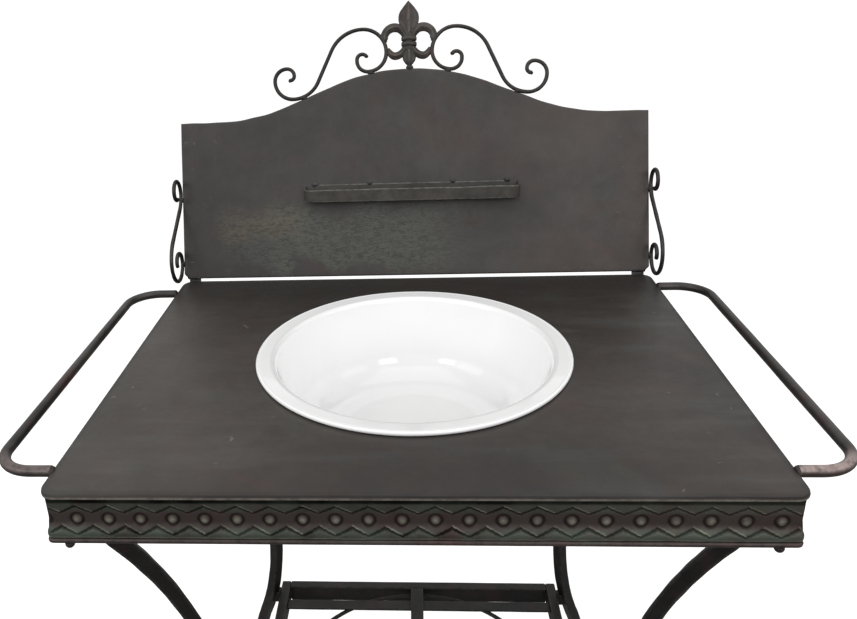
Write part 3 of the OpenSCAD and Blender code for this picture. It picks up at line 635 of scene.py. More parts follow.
for part, tint in ((outer, (0.92, 0.92, 0.915, 1)), (bend, (0.81, 0.812, 0.81, 1)),
                   (step(tree, radius, 0.1575, 0.1592), (0.97, 0.971, 0.97, 1)), (wall, (0.975, 0.976, 0.975, 1))):
    tone = mix(tree, part, tone, tint)
orange_peel = add(tree, "ShaderNodeBump", {"Strength": 0.12, "Distance": 0.0004,
                                           "Height": noise(tree, 55.0, 3.0, 2.0, 0.4)})
dull = step(tree, noise(tree, 40.0, 2.0, 4.0, 0.6), 0.3, 0.7, 0.06, 0.12)
give(tree, glaze, {"Base Color": tone, "Roughness": dull, "Normal": orange_peel.outputs[0], "IOR": 1.52,
                   "Coat Weight": 0.6, "Coat Roughness": 0.03})
settle(basin, white, "enamel", "basin", body="basin")


# ---- Towel rails ----
# On each side a round bar is bent twice and its two ends are butted and welded on the top's edge.
# Hands and towels have worn its patina thin, and each joint shows a small collar of weld.

def rounded_section(wide, high, corner, arc):
    """Points round a bar's section: four corner arcs with a few points along each flat between them."""
    corner = min(corner, wide / 2, high / 2)
    points, worn = [], []
    for k, (sx, sy) in enumerate(((1, 1), (-1, 1), (-1, -1), (1, -1))):
        a = np.radians(90 * k + np.linspace(0, 90, arc))
        c = np.array([sx * (wide / 2 - corner), sy * (high / 2 - corner)])
        points.append(c + corner * points_of(np.cos(a), np.sin(a)))
        worn.append(np.full(arc, 1.0))
        flat_length = wide - 2 * corner if k % 2 == 0 else high - 2 * corner
        if flat_length > 0.2:
            to = np.array([-sx, 0]) if k % 2 == 0 else np.array([0, -sy])
            spots = np.array([0.06, 0.5, 0.94]) * flat_length
            points.append(points[-1][-1] + spots[:, None] * to)
            worn.append(np.zeros(3))
    return np.concatenate(points), np.concatenate(worn)


def carried(path, across, wide, high, corner, arc=5, blunt=None, uneven=0.0, size=40, seed=1):
    """A bar's section carried along a path of points. across is the fixed direction square to the path's
    plane, along which the section is high; its width lies square to both. At each end the section is
    drawn in over a quarter circle to a point, so that the end is closed and its rim is rounded."""
    across = np.asarray(across, float) / np.linalg.norm(across)
    step_on = np.gradient(path, axis=0)
    ahead = step_on / np.linalg.norm(step_on, axis=1, keepdims=True)
    blunt = corner if blunt is None else blunt
    flat, worn = rounded_section(wide, high, corner, arc)
    shape = flat / np.array([wide / 2, high / 2])
    end_arc = np.radians([75, 55, 30])
    inset_in, lead = blunt * (1 - np.cos(end_arc)), blunt * (1 - np.sin(end_arc))
    place = np.concatenate([path[:1], path[:1] + ahead[:1] * lead[:, None], path[:1] + ahead[:1] * blunt,
                            path[1:-1], path[-1:] - ahead[-1:] * blunt, path[-1:] - ahead[-1:] * lead[::-1, None],
                            path[-1:]])
    heading = np.concatenate([np.repeat(ahead[:1], 5, axis=0), ahead[1:-1], np.repeat(ahead[-1:], 5, axis=0)])
    inset = np.concatenate([[blunt], inset_in, np.zeros(len(path)), inset_in[::-1], [blunt]])
    grow = 1 + uneven * ripple(place, size, seed)
    half = np.array([wide / 2, high / 2])
    half = (half - np.minimum(inset[:, None], half)) * grow[:, None]
    outline = shape[None] * half[:, None]
    side = np.cross(across, heading)
    grid = place[:, None] + outline[..., :1] * side[:, None] + outline[..., 1:] * across
    centre = np.broadcast_to(place[[0, -1]][:, None], (2, *grid.shape[1:]))
    grid = np.concatenate([centre[:1], grid, centre[1:]])
    return grid * MM + middle, np.broadcast_to(worn * (corner < min(wide, high) / 2 - 0.1), grid.shape[:2])


def weld_lumps(name, places, sizes, seed):
    """Small beads of weld: spheres drawn out to each size, with a wavy surface."""
    a, b = np.linspace(0, np.pi, 9)[:, None], full_turn(14)
    ball = points_of(np.sin(a) * np.cos(b), np.sin(a) * np.sin(b), np.cos(a))
    lumps = []
    for k, (place, size) in enumerate(zip(places, sizes)):
        grid = ball * np.asarray(size, float)
        grid = grid * (1 + 0.14 * ripple(grid, 4.5, seed + k))[..., None] + np.asarray(place, float)
        lumps.append(skin(name, grid * MM + middle, around=True, recess=0.25))
    return joined(name, lumps)


rail_r, rail_out, rail_front, rail_rear, rail_bend, rail_drop = 5.0, 53.0, 34.5, 42.0, 34.0, 1.0
rail_iron = patinated_iron("handled_iron", (42, 39, 37), (74, 69, 66), rust=0.55, bloom=0.2,
                           edge=(168, 150, 145), gloss=0.33, rough=0.14, whole=0.35)
arm = rail_out - rail_bend - gap
reach = sheet_d - rail_front - rail_rear - 2 * rail_bend
hands = (("left", -1), ("right", 1))
# A little thinner than the solid rod, so that its unevenness stays inside it
round_w = 2 * rail_r - 0.2
for name, x in hands:
    flat, _ = wander([(0, arm), (rail_bend, 90), (0, reach), (rail_bend, 90), (0, arm)],
                     (sheet_w / 2 + gap, rail_front - sheet_d / 2), 0, 3.0)
    path = points_of(x * flat[:, 0], flat[:, 1], -rail_drop)
    points, worn = carried(path, (0, 0, 1), round_w, round_w, round_w / 2, arc=7, blunt=0.6, uneven=0.012,
                           seed=30 + x)
    _, back, up = np.moveaxis((points - middle) / MM, -1, 0)
    front_arm = np.clip((-back - 172) / 20, 0, 1)
    # Worn on the upper side of the front arms, more on the right, where the lighter top is also a painted highlight
    rub_and_highlight = np.clip((up + rail_drop - 0.5) / 3, 0, 0.65 + 0.35 * x) * front_arm
    rod = skin("rail_rod", points, around=True, worn=rub_and_highlight)
    collars = weld_lumps("collar", [path[k] - [0, 0, 0.6] for k in (0, -1)], [(2.6, 6.2, 4.9)] * 2, 35)
    settle(joined("bent_rail_" + name, [rod, collars]), rail_iron, "iron", "towel_rail_" + name)


# ---- Splash panel ----
# The panel is a plate of sheet iron, cut to an arch and leaning back over the table's rear edge. It is
# waxed brown-black like the top, with a dull green and ochre bloom where water has run below the tray.

panel_w, panel_t, lean = sheet_w, 3.0, np.radians(21.1)
panel_foot, shoulder, corner_cut = 3.0, 206.5, 6.0
arch_r, arch_turn, arch_slope, hollow_r = 261.0, 21.8, 68.0, 248.0
arch_drop = (arch_r + hollow_r) * (1 - np.cos(np.radians(arch_turn))) + arch_slope * np.sin(np.radians(arch_turn))
crown = shoulder + arch_drop


def on_panel(x, v, out):
    """Points by their place on the panel: x to the right, v up it from the table's rear edge, out from
    its front face."""
    return points_of(x, sheet_d / 2 + v * np.sin(lean) - out * np.cos(lean), v * np.cos(lean) + out * np.sin(lean))


def panel_grid():
    """The panel's upright section, carried from end to end: up the front face, over a half-round edge,
    down the back and round the foot. Its top follows the arch, and its ends are drawn in to an edge."""
    line, _ = wander([(arch_r, -arch_turn), (0, arch_slope), (hollow_r, arch_turn)], (0, crown), 0, 1.5)
    half = panel_w / 2
    x = np.concatenate([[-half, -half + 0.15, -half + 0.6, -half + 1.5], np.linspace(-half + 2.5, half - 2.5, 320),
                        [half - 1.5, half - 0.6, half - 0.15, half]])
    thick = np.sqrt(np.clip(1 - (np.clip(np.abs(x) - half + 1.5, 0, 1.5) / 1.5) ** 2, 0, 1)) * panel_t / 2
    top = np.interp(np.abs(x), line[:, 0], line[:, 1], right=shoulder) + 0.25 * ripple(on_panel(x, 0, 0), 30, 51)
    foot = panel_foot + np.clip(np.abs(x) - half + corner_cut, 0, corner_cut)
    up, a = np.linspace(0.01, 0.99, 60), np.radians([22, 67, 112, 157])
    share = np.concatenate([up, np.ones(4), up[::-1], np.zeros(4)])
    depth = np.concatenate([np.ones(60), np.cos(a), -np.ones(60), -np.cos(a)])
    over = np.concatenate([np.zeros(60), np.sin(a), np.zeros(60), -np.sin(a)])
    v = foot[:, None] + (top - foot)[:, None] * share + (over - np.sign(over)) * thick[:, None]
    x, top, foot, thick = (line[:, None] for line in (x, top, foot, thick))
    bulge = 0.45 * ripple(points_of(x, v, 0), 170, 52) + 0.12 * ripple(points_of(x, v, 0), 45, 53)
    bulge = bulge * np.clip(v / 60, 0, 1) * np.clip((top - v) / 30, 0, 1)
    near_rim = np.minimum(half - np.abs(x), np.minimum(top - v, v - foot))
    worn = np.clip(1 - near_rim / 1.3, 0, 1) * 0.55
    return on_panel(x, v, -panel_t / 2 + depth * thick + bulge) * MM + middle, worn


def bloomed_panel(tree, tone):
    """Where water has run under the tray: dull grey-green in a soft wide patch, ochre in its left part,
    both broken up by fine level streaks. The right part is browner, faint upright wipe marks cross the
    whole panel, and small pale scuffs lie near its ends."""
    x, _, z = axes(tree, own_place(tree))
    shaken = maths(tree, "ADD", times(tree, noise(tree, 16.0, 21.0, 6.0, 0.6), 0.12), -0.06)
    x, z = maths(tree, "ADD", x, shaken), maths(tree, "ADD", z, shaken)
    wide = times(tree, step(tree, x, -0.265, -0.225), step(tree, x, 0.11, -0.02))
    patch = times(tree, wide, times(tree, step(tree, z, 0.905, 0.875), step(tree, z, 0.803, 0.82)))
    left = times(tree, step(tree, x, -0.12, -0.19), step(tree, z, 0.83, 0.855))
    level_lines = noise(tree, 270.0, 22.0, 6.0, 0.75, stretched(tree, (0.42, 1, 1.3)), 1.2)
    streaks = step(tree, level_lines, 0.44, 0.6)
    bloom = mix(tree, times(tree, left, 0.85), colour(80, 83, 77), colour(98, 92, 77))
    bloom = mix(tree, times(tree, streaks, 0.75), bloom, colour(46, 44, 40))
    tone = mix(tree, times(tree, patch, 0.9), tone, bloom)
    brown = times(tree, step(tree, x, 0.02, 0.24), step(tree, noise(tree, 7.0, 24.0, 5.0, 0.6), 0.36, 0.6))
    tone = mix(tree, times(tree, brown, 0.5), tone, colour(78, 68, 64))
    # Darker at the left end, most of all low down
    left_end_darker = times(tree, step(tree, x, -0.14, -0.25), step(tree, z, 0.99, 0.87, 0.35, 1.0))
    tone = mix(tree, times(tree, left_end_darker, 0.4), tone, colour(38, 35, 36))
    far_out = step(tree, maths(tree, "ABSOLUTE", x), 0.2, 0.285)
    scuffs = step(tree, noise(tree, 60.0, 25.0, 6.0, 0.75, warp=1.4), 0.62, 0.72)
    tone = mix(tree, times(tree, far_out, scuffs, 0.5), tone, colour(126, 128, 120))
    wiped = noise(tree, 9.0, 23.0, 6.0, 0.7, stretched(tree, (6, 1, 0.6)))
    return mix(tree, step(tree, wiped, 0.5, 0.75, 0.0, 0.4), tone, colour(66, 66, 64))


panel_iron = patinated_iron("waxed_dark_iron", (54, 51, 49), (68, 64, 62), rust=0.3, bloom=0.1,
                            edge=(98, 96, 92), gloss=0.46, rough=0.12, mottle=0.35, extra=bloomed_panel)
points, worn = panel_grid()
settle(skin("arched_panel", points, around=True, worn=worn), panel_iron, "iron", "back_panel")


# ---- Panel straps ----
# Two short flat straps behind the panel's ends hold it up: each runs down the back of the panel, bends,
# and goes on down behind the table's rear apron, where it is welded.

strap_w, strap_t, strap_up, strap_down, strap_inset = 15.0, 3.0, 48.0, 46.0, 6.0
bend_in = sheet_d / 2 + gap + strap_t / 2
back = -panel_t - gap - strap_t / 2
for name, x in hands:
    upper = np.linspace(strap_up, 9, 14)
    leaning = on_panel(0, upper, back)[:, 1:]
    lower = points_of(bend_in, np.linspace(-7, -strap_down, 14))
    knee = np.linspace(0, 1, 8)[1:-1, None]
    corner = np.array([bend_in, leaning[-1, 1] - (leaning[-1, 0] - bend_in) / np.tan(lean)])
    curve = (1 - knee) ** 2 * leaning[-1] + 2 * knee * (1 - knee) * corner + knee ** 2 * lower[0]
    across_x = x * (panel_w / 2 - strap_inset - strap_w / 2)
    path = np.insert(np.concatenate([leaning, curve, lower]), 0, across_x, axis=1)
    points, worn = carried(path, (1, 0, 0), strap_t, strap_w, 0.7, arc=3, uneven=0.01, seed=60 + x)
    strap = skin("strap", points, around=True, worn=0.4 * worn)
    beads = weld_lumps("bead", [on_panel(across_x + k * 6, 4.5, -panel_t / 2) for k in (-1, 0, 1)],
                       [(3.6, 2.6, 2.2)] * 3, 61)
    settle(joined("panel_strap_bent_" + name, [strap, beads]), top_iron, "iron", "panel_strap_" + name)


# ---- Tray ----
# A narrow tray for soap hangs on the panel. A flat strap is bent round its front, another lies along the
# panel and holds it with four small welds, and a strip of sheet closes its bottom.

tray_v, tray_w, tray_d, tray_h, tray_t, tray_bend, tray_rear_h = 122.0, 275.0, 27.0, 16.0, 2.0, 11.0, 12.0
tray_iron = patinated_iron("tray_dark_iron", (66, 63, 60), (86, 82, 78), rust=0.35, bloom=0.3,
                           edge=(128, 126, 118), gloss=0.42)
tray_y, tray_z = on_panel(0, tray_v, 0)[1:]
# The strap's ends run on behind the panel's face by this much, and are then cut along it
spare = 4.0
mid, end_l = tray_bend - tray_t / 2, tray_d + spare - tray_bend
flat, _ = wander([(0, end_l), (mid, 90), (0, tray_w - 2 * tray_bend), (mid, 90), (0, end_l)],
                 (0, 0), -90, 2.5)
flat = flat + np.array([-tray_w / 2 + tray_t / 2, spare])
z_mid = tray_z - tray_h / 2
path = points_of(flat[:, 0], tray_y + flat[:, 1], z_mid)
points, worn = carried(path, (0, 0, 1), tray_t, tray_h, 0.8, arc=4)
points = points.reshape(-1, 3)
front_face = tray_y * MM + middle[1] + (points[:, 2] - middle[2] - tray_z * MM) * np.tan(lean) - 0.0002
points[:, 1] = np.minimum(points[:, 1], front_face)
wavy = 0.35 * ripple(points / MM * [1, 0.2, 0.2], 50, 63) * MM
points[:, 2] += wavy * (points[:, 2] > middle[2] + z_mid * MM)
strap = skin("tray_strap", points.reshape(*worn.shape, 3), around=True, worn=0.55 * worn)
settle(strap, tray_iron, "iron", "tray_front")

rear_w = tray_w - 2 * tray_t - 2 * tray_bend
path = on_panel(np.linspace(-rear_w / 2, rear_w / 2, 120), tray_v - tray_rear_h / 2, gap + tray_t / 2)
upward = on_panel(0, 1, 0) - on_panel(0, 0, 0)
points, worn = carried(path, upward, tray_t, tray_rear_h, 0.7, arc=4)
# The strap's flats are painted darker as shade inside the tray, and its rounded edges are rubbed
rear = skin("rear_strap", points, around=True, worn=0.6 * worn, recess=0.35 * (1 - worn))
spots = np.array([-124.0, -53.0, 53.0, 122.0])
beads = weld_lumps("bead", [on_panel(s, tray_v + 0.6, 1.6) for s in spots],
                   [(4.2, 2.3, 2.6), (3.2, 2.1, 2.5), (3.5, 2.2, 2.6), (4.0, 2.3, 2.7)], 65)
settle(joined("rear_tray_strap", [rear, beads]), tray_iron, "iron", "tray_rear")

x = np.linspace(-tray_w / 2 + tray_t + gap, tray_w / 2 - tray_t - gap, 90)
corner = np.clip(np.abs(x) - (tray_w / 2 - tray_bend), 0, None)
front = -(tray_d - tray_bend) - np.sqrt(np.clip((tray_bend - tray_t - gap) ** 2 - corner ** 2, 0, None))
low_z = tray_z - tray_h + np.array([tray_t, tray_t, 0.0, 0.0])
rear_y = (low_z - tray_z) * np.tan(lean) - 0.4
share = np.array([0.0, 1.0, 1.0, 0.0])
y = tray_y + rear_y + (front[:, None] - rear_y) * share
grid = capped(points_of(x[:, None], y, low_z)) * MM + middle
# The bottom is painted dark as shade inside and under the tray
bottom = skin("tray_bottom", grid, around=True, recess=0.7)
edges = bottom.modifiers.new("soft_edges", "BEVEL")
edges.width, edges.segments, edges.limit_method, edges.angle_limit = 0.0003, 2, "ANGLE", np.radians(50)
settle(bottom, tray_iron, "iron", "tray_floor")


# ---- Side scrolls ----
# At each end of the panel a thin round bar is curled into an S, its two curls turned forward, and welded
# to the panel's edge at two places.

rod_r, scroll_out = 2.5, -panel_t / 2
scroll_iron = patinated_iron("forged_dark_iron", (32, 29, 27), (52, 48, 45), rust=0.35, bloom=0.25,
                             edge=(112, 108, 100), gloss=0.3)


def curl(parts, start, heading, back_parts, back_heading, every=1.2):
    """One bar bent both ways from a point: the points of the first bend run back to front, then on
    through the second."""
    there, _ = wander(parts, start, heading, every)
    back, _ = wander(back_parts, start, back_heading, every)
    return np.concatenate([back[:0:-1], there])


def drawn_rod(name, path, across, seed):
    """A round bar along a path, forged a little uneven, with its two ends drawn down thinner."""
    points, _ = carried(path, across, 2 * rod_r, 2 * rod_r, rod_r, arc=4, uneven=0.035, size=18, seed=seed)
    return skin(name, points, around=True, recess=0.15)


side_curl, weld_v, weld_apart, side_turn = 26.0, 22.5, 84, 38
heel, knee, hip = side_curl * 0.88, side_curl * 1.5, side_curl * 1.15
climb = (heel + side_curl - (knee + hip) * (1 - np.cos(np.radians(side_turn)))) / np.sin(np.radians(side_turn))
flat = curl([(heel, 90), (side_curl, 90), (knee, side_turn), (0, climb), (hip, -side_turn), (heel * 0.75, -90),
             (heel * 0.6, -90), (heel * 0.48, -90), (heel * 0.3, -60)], (0, 0), -90,
            [(heel * 0.6, -90), (heel * 0.5, -90), (heel * 0.35, -60)], 90)
for name, x in hands:
    across_x = x * (panel_w / 2 + gap + rod_r)
    path = on_panel(across_x, weld_v + flat[:, 1], scroll_out + flat[:, 0])
    rod = drawn_rod("rod", path, (1, 0, 0), 70 + x)
    spots = [on_panel(x * (panel_w / 2 + 0.8), v, scroll_out) for v in (weld_v, weld_v + weld_apart)]
    beads = weld_lumps("bead", spots, [(2.6, 3.0, 4.2), (2.6, 3.0, 3.6)], 71)
    settle(joined("side_scroll_rod_" + name, [rod, beads]), scroll_iron, "iron", "side_scroll_" + name)


# ---- Crest scrolls ----
# Two longer S scrolls stand on the arch, one each side. Each curls in beside the finial, rises over it in
# a shoulder and runs down to an outer curl. A drop of weld under each curl holds it to the panel's edge.

curl_x, curl_r, crown_r, brow_r, fall_turn, heel_r = 53.3, 24.0, 30.0, 45.0, 65.3, 36.0
lift = rod_r + gap
curl_c = np.array([curl_x, crown - arch_r + np.sqrt((arch_r + curl_r + lift) ** 2 - curl_x ** 2)])
brow_c = curl_c + [crown_r - curl_r, crown_r - brow_r]
fall_a, arch_a = np.radians(fall_turn), np.radians(arch_turn)
fall_side = np.array([np.sin(fall_a), np.cos(fall_a)])
brow_end = brow_c + brow_r * fall_side
slope_start = np.array([arch_r * np.sin(arch_a), crown - arch_r * (1 - np.cos(arch_a))])
slope_up = np.array([np.sin(arch_a), np.cos(arch_a)])
fall = ((brow_end + heel_r * fall_side - slope_start) @ slope_up - heel_r - lift) / np.sin(fall_a - arch_a)
foot = curl_c - [0, curl_r]
flat = curl([(curl_r, -90), (crown_r, -90), (brow_r, -fall_turn), (0, fall), (heel_r, fall_turn),
             (heel_r * 0.65, 90), (heel_r * 0.44, 90), (heel_r * 0.26, 90), (heel_r * 0.16, 110)], foot, 180,
            [(curl_r * 0.58, 90), (0, curl_r * 0.06), (curl_r * 0.29, 90), (curl_r * 0.27, 75)], 0)
front = on_panel(0, 0, 1) - on_panel(0, 0, 0)
heel_place = brow_end + fall * np.array([np.cos(-fall_a), np.sin(-fall_a)])
heel_foot = heel_place + heel_r * fall_side - heel_r * slope_up
inner_foot = curl_c - curl_r * np.array([np.sin(0.19), np.cos(0.19)])
for name, x in hands:
    rod = drawn_rod("rod", on_panel(x * flat[:, 0], flat[:, 1], scroll_out), front, 80 + x)
    spots = [on_panel(x * at[0], at[1] - 1.2, scroll_out) for at in (heel_foot, inner_foot + [0.5, -0.8])]
    beads = weld_lumps("bead", spots, [(5.0, 3.0, 3.0), (4.6, 2.8, 2.6)], 81)
    settle(joined("crest_scroll_rod_" + name, [rod, beads]), scroll_iron, "iron", "crest_scroll_" + name)


# ---- Finial ----
# The fleur-de-lis is cast in one piece: a pointed upper petal with a ridge down its middle, two curled
# leaves on each side, a collar of two beads, and a lower petal whose point is welded to the arch.

finial_iron = patinated_iron("cast_dark_iron", (44, 39, 37), (78, 71, 66), rust=0.7, bloom=0.3,
                             edge=(128, 122, 112), gloss=0.32, grain=1.3)
tip_v = 86.0


def smooth_line(stops, values, count):
    """A smooth curve through a few values: the cubic that joins neighbours with matching slopes, which
    are the mean slopes of the two spans beside each stop."""
    stops, values = np.asarray(stops, float), np.asarray(values, float)
    values = values.reshape(len(stops), -1)
    slope = np.gradient(values, stops, axis=0)
    s = np.linspace(stops[0], stops[-1], count)
    k = np.clip(np.searchsorted(stops, s, side="right") - 1, 0, len(stops) - 2)
    span = (stops[k + 1] - stops[k])[:, None]
    t = (s - stops[k])[:, None] / span
    return ((1 + 2 * t) * (1 - t) ** 2 * values[k] + t * (1 - t) ** 2 * span * slope[k]
            + t * t * (3 - 2 * t) * values[k + 1] + t * t * (t - 1) * span * slope[k + 1])


def ridged(name, spine, half_w, half_t, ridge, hollow=0.0):
    """A cast leaf: a lens section carried along a spine drawn on the panel. Across the leaf the section
    goes from edge to edge, and its thickness rises to a ridge along the middle, with hollow sides."""
    step_on = np.gradient(spine, axis=0)
    ahead = step_on / np.linalg.norm(step_on, axis=1, keepdims=True)
    side = points_of(-ahead[:, 1], ahead[:, 0])
    a = full_turn(28)
    across = np.cos(a)
    thick = np.sin(a) * (1 - hollow * np.sin(2 * np.abs(across) * np.pi / 1.6) ** 2)
    thick = thick * (1 - ridge) + np.sign(np.sin(a)) * ridge * (1 - np.abs(across)) ** 0.9
    flat = spine[:, None] + side[:, None] * (across * half_w)[..., None]
    grid = on_panel(flat[..., 0], crown + flat[..., 1], scroll_out + thick * half_t)
    grid = grid + 0.16 * ripple(grid, 9, 91)[..., None] * np.array([0.3, -1, 0.3])
    shade = np.clip(1 - np.abs(np.abs(across) - 0.3) / 0.25, 0, 1) * 0.6 * hollow * 2
    worn = np.clip(1 - np.abs(across) / 0.16, 0, 1) * (np.sin(a) > 0) * 0.4 * np.ones((len(spine), 1))
    return skin(name, grid * MM + middle, around=True, worn=worn, recess=np.broadcast_to(shade, worn.shape))


def petal(v, half_w, heights, half_t):
    """An upright leaf, as wide as given at each v and as thick as given at a few heights."""
    return ridged("petal", points_of(0, v), half_w[:, None], np.interp(v, heights, half_t)[:, None], 0.6, 0.25)


waist_v = 36
v = np.linspace(0, 1, 60) ** 0.9 * (tip_v - waist_v) + waist_v
half_w = smooth_line([waist_v, 42, 50, 57, 64, 71, 78, 83, tip_v],
                     [5.2, 5.9, 9.0, 12.2, 13.2, 11.7, 7.0, 2.9, 0.25], 400)[:, 0]
upper = petal(v, np.interp(v, np.linspace(waist_v, tip_v, 400), half_w), [waist_v, 48, 64, 80, tip_v],
              [3.4, 4.2, 4.6, 3.2, 0.6])
v = np.linspace(30, 2.2, 40)
half_w = np.interp(v, [2.2, 3.5, 6, 10, 15.5, 21, 27, 30], [0.8, 2.4, 5.0, 7.8, 9.0, 8.2, 6.4, 5.6])
lower = petal(v, half_w, [2.2, 8, 16, 30], [1.2, 3.2, 4.2, 3.6])
leaves = []
for x in (-1, 1):
    for spine, width, thick in (
            ([(4.0, 38), (8, 46.5), (13.5, 51.3), (21, 52.0), (27.5, 48.6), (31.2, 42.5), (30.6, 36.8),
              (28.8, 34.2)],
             [3.0, 4.6, 5.6, 5.8, 5.4, 4.9, 4.0, 1.2], [3.4, 3.9, 4.1, 4.1, 3.9, 3.6, 3.0, 0.8]),
            ([(4.0, 30), (7.5, 22.5), (12.5, 17.6), (18.5, 16.2), (23, 18.6), (25.4, 22.5), (26.0, 26.5)],
             [2.8, 4.0, 4.9, 5.0, 4.4, 3.5, 1.2], [3.2, 3.6, 3.8, 3.8, 3.4, 2.8, 0.8])):
        stops = np.linspace(0, 1, len(spine))
        line = smooth_line(stops, spine, 70) * [x, 1]
        half = smooth_line(stops, width, 70)
        leaves.append(ridged("leaf", line, half, smooth_line(stops, thick, 70), 0.45, 0.2))
# The collar's beads are flattened balls: 10 mm to each side, and 5.4 mm to the front and to the back
beads, half_x, half_y, nose = [], 10.0, 5.4, 3.6
a, b = full_turn(40), np.linspace(0, np.pi, 12)[:, None]
round_off = np.sin(b) ** 0.6
x = (half_x - nose) * np.clip(1.25 * np.cos(a), -1, 1) * np.clip(round_off * 1.3, 0, 1)
x = x + nose * np.cos(a) * round_off
out = scroll_out + half_y * np.sin(a) * round_off
for low_v, top_v in ((27.0, 34.3), (34.0, 41.3)):
    v = (low_v + top_v) / 2 - (top_v - low_v) / 2 * np.cos(b)
    beads.append(skin("bead", on_panel(x, crown + v, out) * MM + middle, around=True))
a, v = full_turn(24), np.linspace(24, 44, 8)[:, None]
core = skin("core", on_panel(6.2 * np.cos(a), crown + v, scroll_out + 3.8 * np.sin(a)) * MM + middle, around=True)
drip = weld_lumps("drip", [on_panel(0.5, crown + 0.8, scroll_out)], [(4.2, 3.2, 3.8)], 93)
settle(joined("cast_fleur", [upper, lower, *leaves, *beads, core, drip]), finial_iron, "iron", "crest_finial")


# ---- Legs ----
# Each leg is a square bar, bent in under the table and out again to its foot in one sweep along the
# diagonal. It was worked hot, so its faces are a little hammered and its corners are soft and rubbed.

leg_bar, leg_toe, leg_head, head_r, upper_r, lower_r = 14.0, np.radians(38), 35.0, 40.0, 510.0, 380.0
waist_drop, flare, plate_t, plate_w, foot_r, foot_t, table_h = 339.0, 24.0, 4.0, 36.0, 14.0, 4.0, middle[2] / MM
leg_iron = patinated_iron("hammered_leg_iron", (19, 16, 15), (32, 28, 26), rust=0.3, bloom=0.1,
                          edge=(70, 66, 62), gloss=0.42, grain=1.4)
head_z = -sheet_t - plate_t - 2 * gap
head_turn = np.arcsin((waist_drop + head_z - leg_head) / (head_r + upper_r))
head_out = (head_r + upper_r) * (1 - np.cos(head_turn))
foot_top = foot_t + gap - table_h
sweep_r = (-foot_top - waist_drop - lower_r * np.sin(np.radians(flare))) / np.sin(np.radians(flare))
leg_line, _ = wander([(0, leg_head), (head_r, -np.degrees(head_turn)), (upper_r, np.degrees(head_turn)),
                      (lower_r, flare), (sweep_r, -flare)], (head_out, head_z), -90, 4.0)
head_in_x, head_in_y = 38, 27
head = np.array([sheet_w / 2 - head_in_x, sheet_d / 2 - head_in_y])
toe_out = np.array([np.cos(leg_toe), np.sin(leg_toe)])
waist = head - head_out * toe_out
corners = {"front_left": (-1, -1), "front_right": (1, -1), "rear_left": (-1, 1), "rear_right": (1, 1)}
for number, (name, (x, y)) in enumerate(corners.items()):
    away = toe_out * [x, y]
    path = raised(waist * [x, y] + leg_line[:, :1] * away, leg_line[:, 1])
    points, worn = carried(path, (-away[1], away[0], 0), leg_bar, leg_bar, 2.2, arc=4, blunt=0.8, uneven=0.012,
                           size=70, seed=100 + number)
    dents = 0.22 * ripple(points / MM, 26, 110 + number) * MM
    points = points + dents[..., None] * np.append(away, 0)
    settle(skin("bent_leg_" + name, points, around=True, worn=0.55 * worn), leg_iron, "iron", "leg_" + name)


# ---- Leg plates and feet ----
# A square plate is welded on each leg's head, to take the screws into the top, and a round disc with
# softened rims under its end, to stand on.

def softened_plate(centre, half, thick, soft):
    """A square plate with rounded rims, as rings from the middle of its upper face out, down and back."""
    a = np.radians([0, 30, 60, 90])
    share = 1 - (1 - np.append(np.sin(a), np.cos(a))) * soft / half
    z = np.append(thick - soft * (1 - np.cos(a)), soft * (1 - np.sin(a)))
    square = rounded_outline(2 * half, 2 * half, 3, 48)
    rows = [(0, thick), *zip(share, z), (0, 0)]
    return np.stack([raised(square * share, z) for share, z in rows]) + centre


rim_soft, bead_at = 1.6, 8.6
for name, (x, y) in corners.items():
    centre = np.array([head[0] * x, head[1] * y, -sheet_t - gap - plate_t])
    plate = skin("square_plate_" + name, softened_plate(centre, plate_w / 2, plate_t, 0.8) * MM + middle,
                 around=True, recess=0.2)
    settle(plate, leg_iron, "iron", "leg_plate_" + name)
    end = waist * [x, y] + leg_line[-1, 0] * (toe_out * [x, y])
    a = np.radians(np.linspace(90, -90, 9))
    rim = points_of(foot_r - rim_soft + rim_soft * np.cos(a), foot_t / 2 + (foot_t / 2) * np.sin(a))
    disc = np.concatenate([[[0, foot_t]], [[foot_r - 3, foot_t]], rim, [[foot_r - 3, 0]], [[0, 0]]])
    foot_disc = skin("disc", turned(disc, (*end, -table_h), 48), around=True, worn=0.2)
    beside = [(bead_at, 0), (-bead_at, 0), (0, bead_at), (0, -bead_at)]
    join = weld_lumps("bead", [(*(end + spot), foot_t - table_h + 0.6) for spot in beside],
                      [(2.2, 5.4, 1.8)] * 2 + [(5.4, 2.2, 1.8)] * 2, 130)
    settle(joined("round_foot_" + name, [foot_disc, join]), leg_iron, "iron", "foot_" + name)


# ---- Shelf frame ----
# Four flat bars set on edge are welded into a frame between the legs, and short stubs tie it to them.
# Their edges are rounded and a little rubbed.

shelf_iron = patinated_iron("dark_shelf_iron", (20, 18, 17), (34, 31, 29), rust=0.25, bloom=0.1,
                            edge=(66, 62, 58), gloss=0.5, grain=1.3)
shelf_z, bar_w, bar_deep, shelf_past, tab_len = -455.0, 13.0, 25.0, 15.0, 5.0
tab_z = shelf_z - bar_deep / 2
leg_in = lower_r - np.sqrt(lower_r ** 2 - (waist_drop + tab_z) ** 2)
leg_at = waist + leg_in * toe_out
shelf_x = leg_at[0] - leg_bar / 2 * toe_out.sum() - tab_len
shelf_y = leg_at[1] + shelf_past


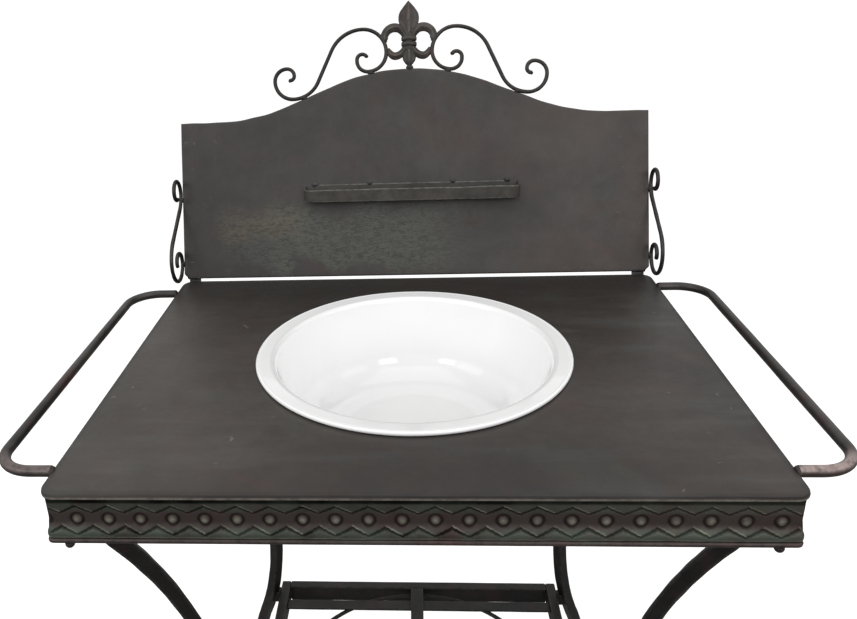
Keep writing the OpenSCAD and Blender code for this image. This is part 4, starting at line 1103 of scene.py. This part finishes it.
def straight_bar(name, start, end, wide, high, corner, seed):
    """A level bar from one point to another, with a rounded-corner section and softened ends."""
    share = np.linspace(0, 1, max(8, int(np.linalg.norm(np.subtract(end, start)) / 6)))[:, None]
    path = np.asarray(start, float) * (1 - share) + np.asarray(end, float) * share
    points, worn = carried(path, (0, 0, 1), wide, high, corner, arc=4, uneven=0.01, size=60, seed=seed)
    return skin(name, points, around=True, worn=0.5 * worn)


for name, x in hands:
    at_x = x * (shelf_x - bar_w / 2)
    bar = straight_bar("shelf_side_bar_" + name, (at_x, -shelf_y, tab_z), (at_x, shelf_y, tab_z),
                       bar_w, bar_deep, 1.6, 140 + x)
    settle(bar, shelf_iron, "iron", "shelf_bar_" + name)
half, front_rear = shelf_x - bar_w - gap, (("front", -1), ("rear", 1))
for name, y in front_rear:
    at_y = y * (shelf_y - bar_w / 2)
    bar = straight_bar("bar", (-half, at_y, tab_z), (half, at_y, tab_z), bar_w, bar_deep, 1.6, 142 + y)
    spots = [(end * half, at_y + side * bar_w / 2, tab_z + up)
             for end in (-1, 1) for side in (-1, 1) for up in (-4, 3)]
    beads = weld_lumps("bead", spots, [(1.8, 1.3, 4.6)] * 8, 143)
    settle(joined("shelf_end_bar_" + name, [bar, beads]), shelf_iron, "iron", "shelf_bar_" + name)
stubs = [straight_bar("stub", (x * (shelf_x + gap), y * leg_at[1], tab_z),
                      (x * (leg_at[0] - 1), y * leg_at[1], tab_z), leg_bar - 1, bar_deep * 0.7, 1.5, 145)
         for x, y in corners.values()]
settle(joined("shelf_stubs", stubs), shelf_iron, "iron", "shelf_tabs")


# ---- Shelf straps and ring ----
# Flat straps lie across the frame, one near each end and one down the middle, let in between the bars.
# Under them a ring of round rod is welded, to hold the foot of a water jug.

slat_w, slat_t, slat_set, spine_w, ring_rod, ring_gap = 17.0, 3.0, 35.0, 17.5, 2.75, 2.0
slat_y = shelf_y - slat_set - slat_w / 2
slat_z = shelf_z - 1.5 * slat_t - gap
for name, y in front_rear:
    slat = straight_bar("shelf_cross_strap_" + name, (-half, y * slat_y, slat_z), (half, y * slat_y, slat_z),
                        slat_w, slat_t, 0.8, 150 + y)
    settle(slat, shelf_iron, "iron", "shelf_strap_" + name)
half = shelf_y - bar_w - gap
spine = straight_bar("shelf_long_strap", (0, -half, shelf_z - slat_t / 2), (0, half, shelf_z - slat_t / 2),
                     spine_w, slat_t, 0.8, 153)
settle(spine, shelf_iron, "iron", "shelf_strap_middle")
jug_r = min(shelf_x, shelf_y) - bar_w - ring_gap - ring_rod
a = full_turn(16)
line = points_of(jug_r + ring_rod * np.cos(a), ring_rod * np.sin(a))
ring = turned(line, (0, 0, shelf_z - 2 * slat_t - 2 * gap - ring_rod), 180)
settle(skin("jug_ring", ring, around=True, along=True), shelf_iron, "iron", "shelf_ring")
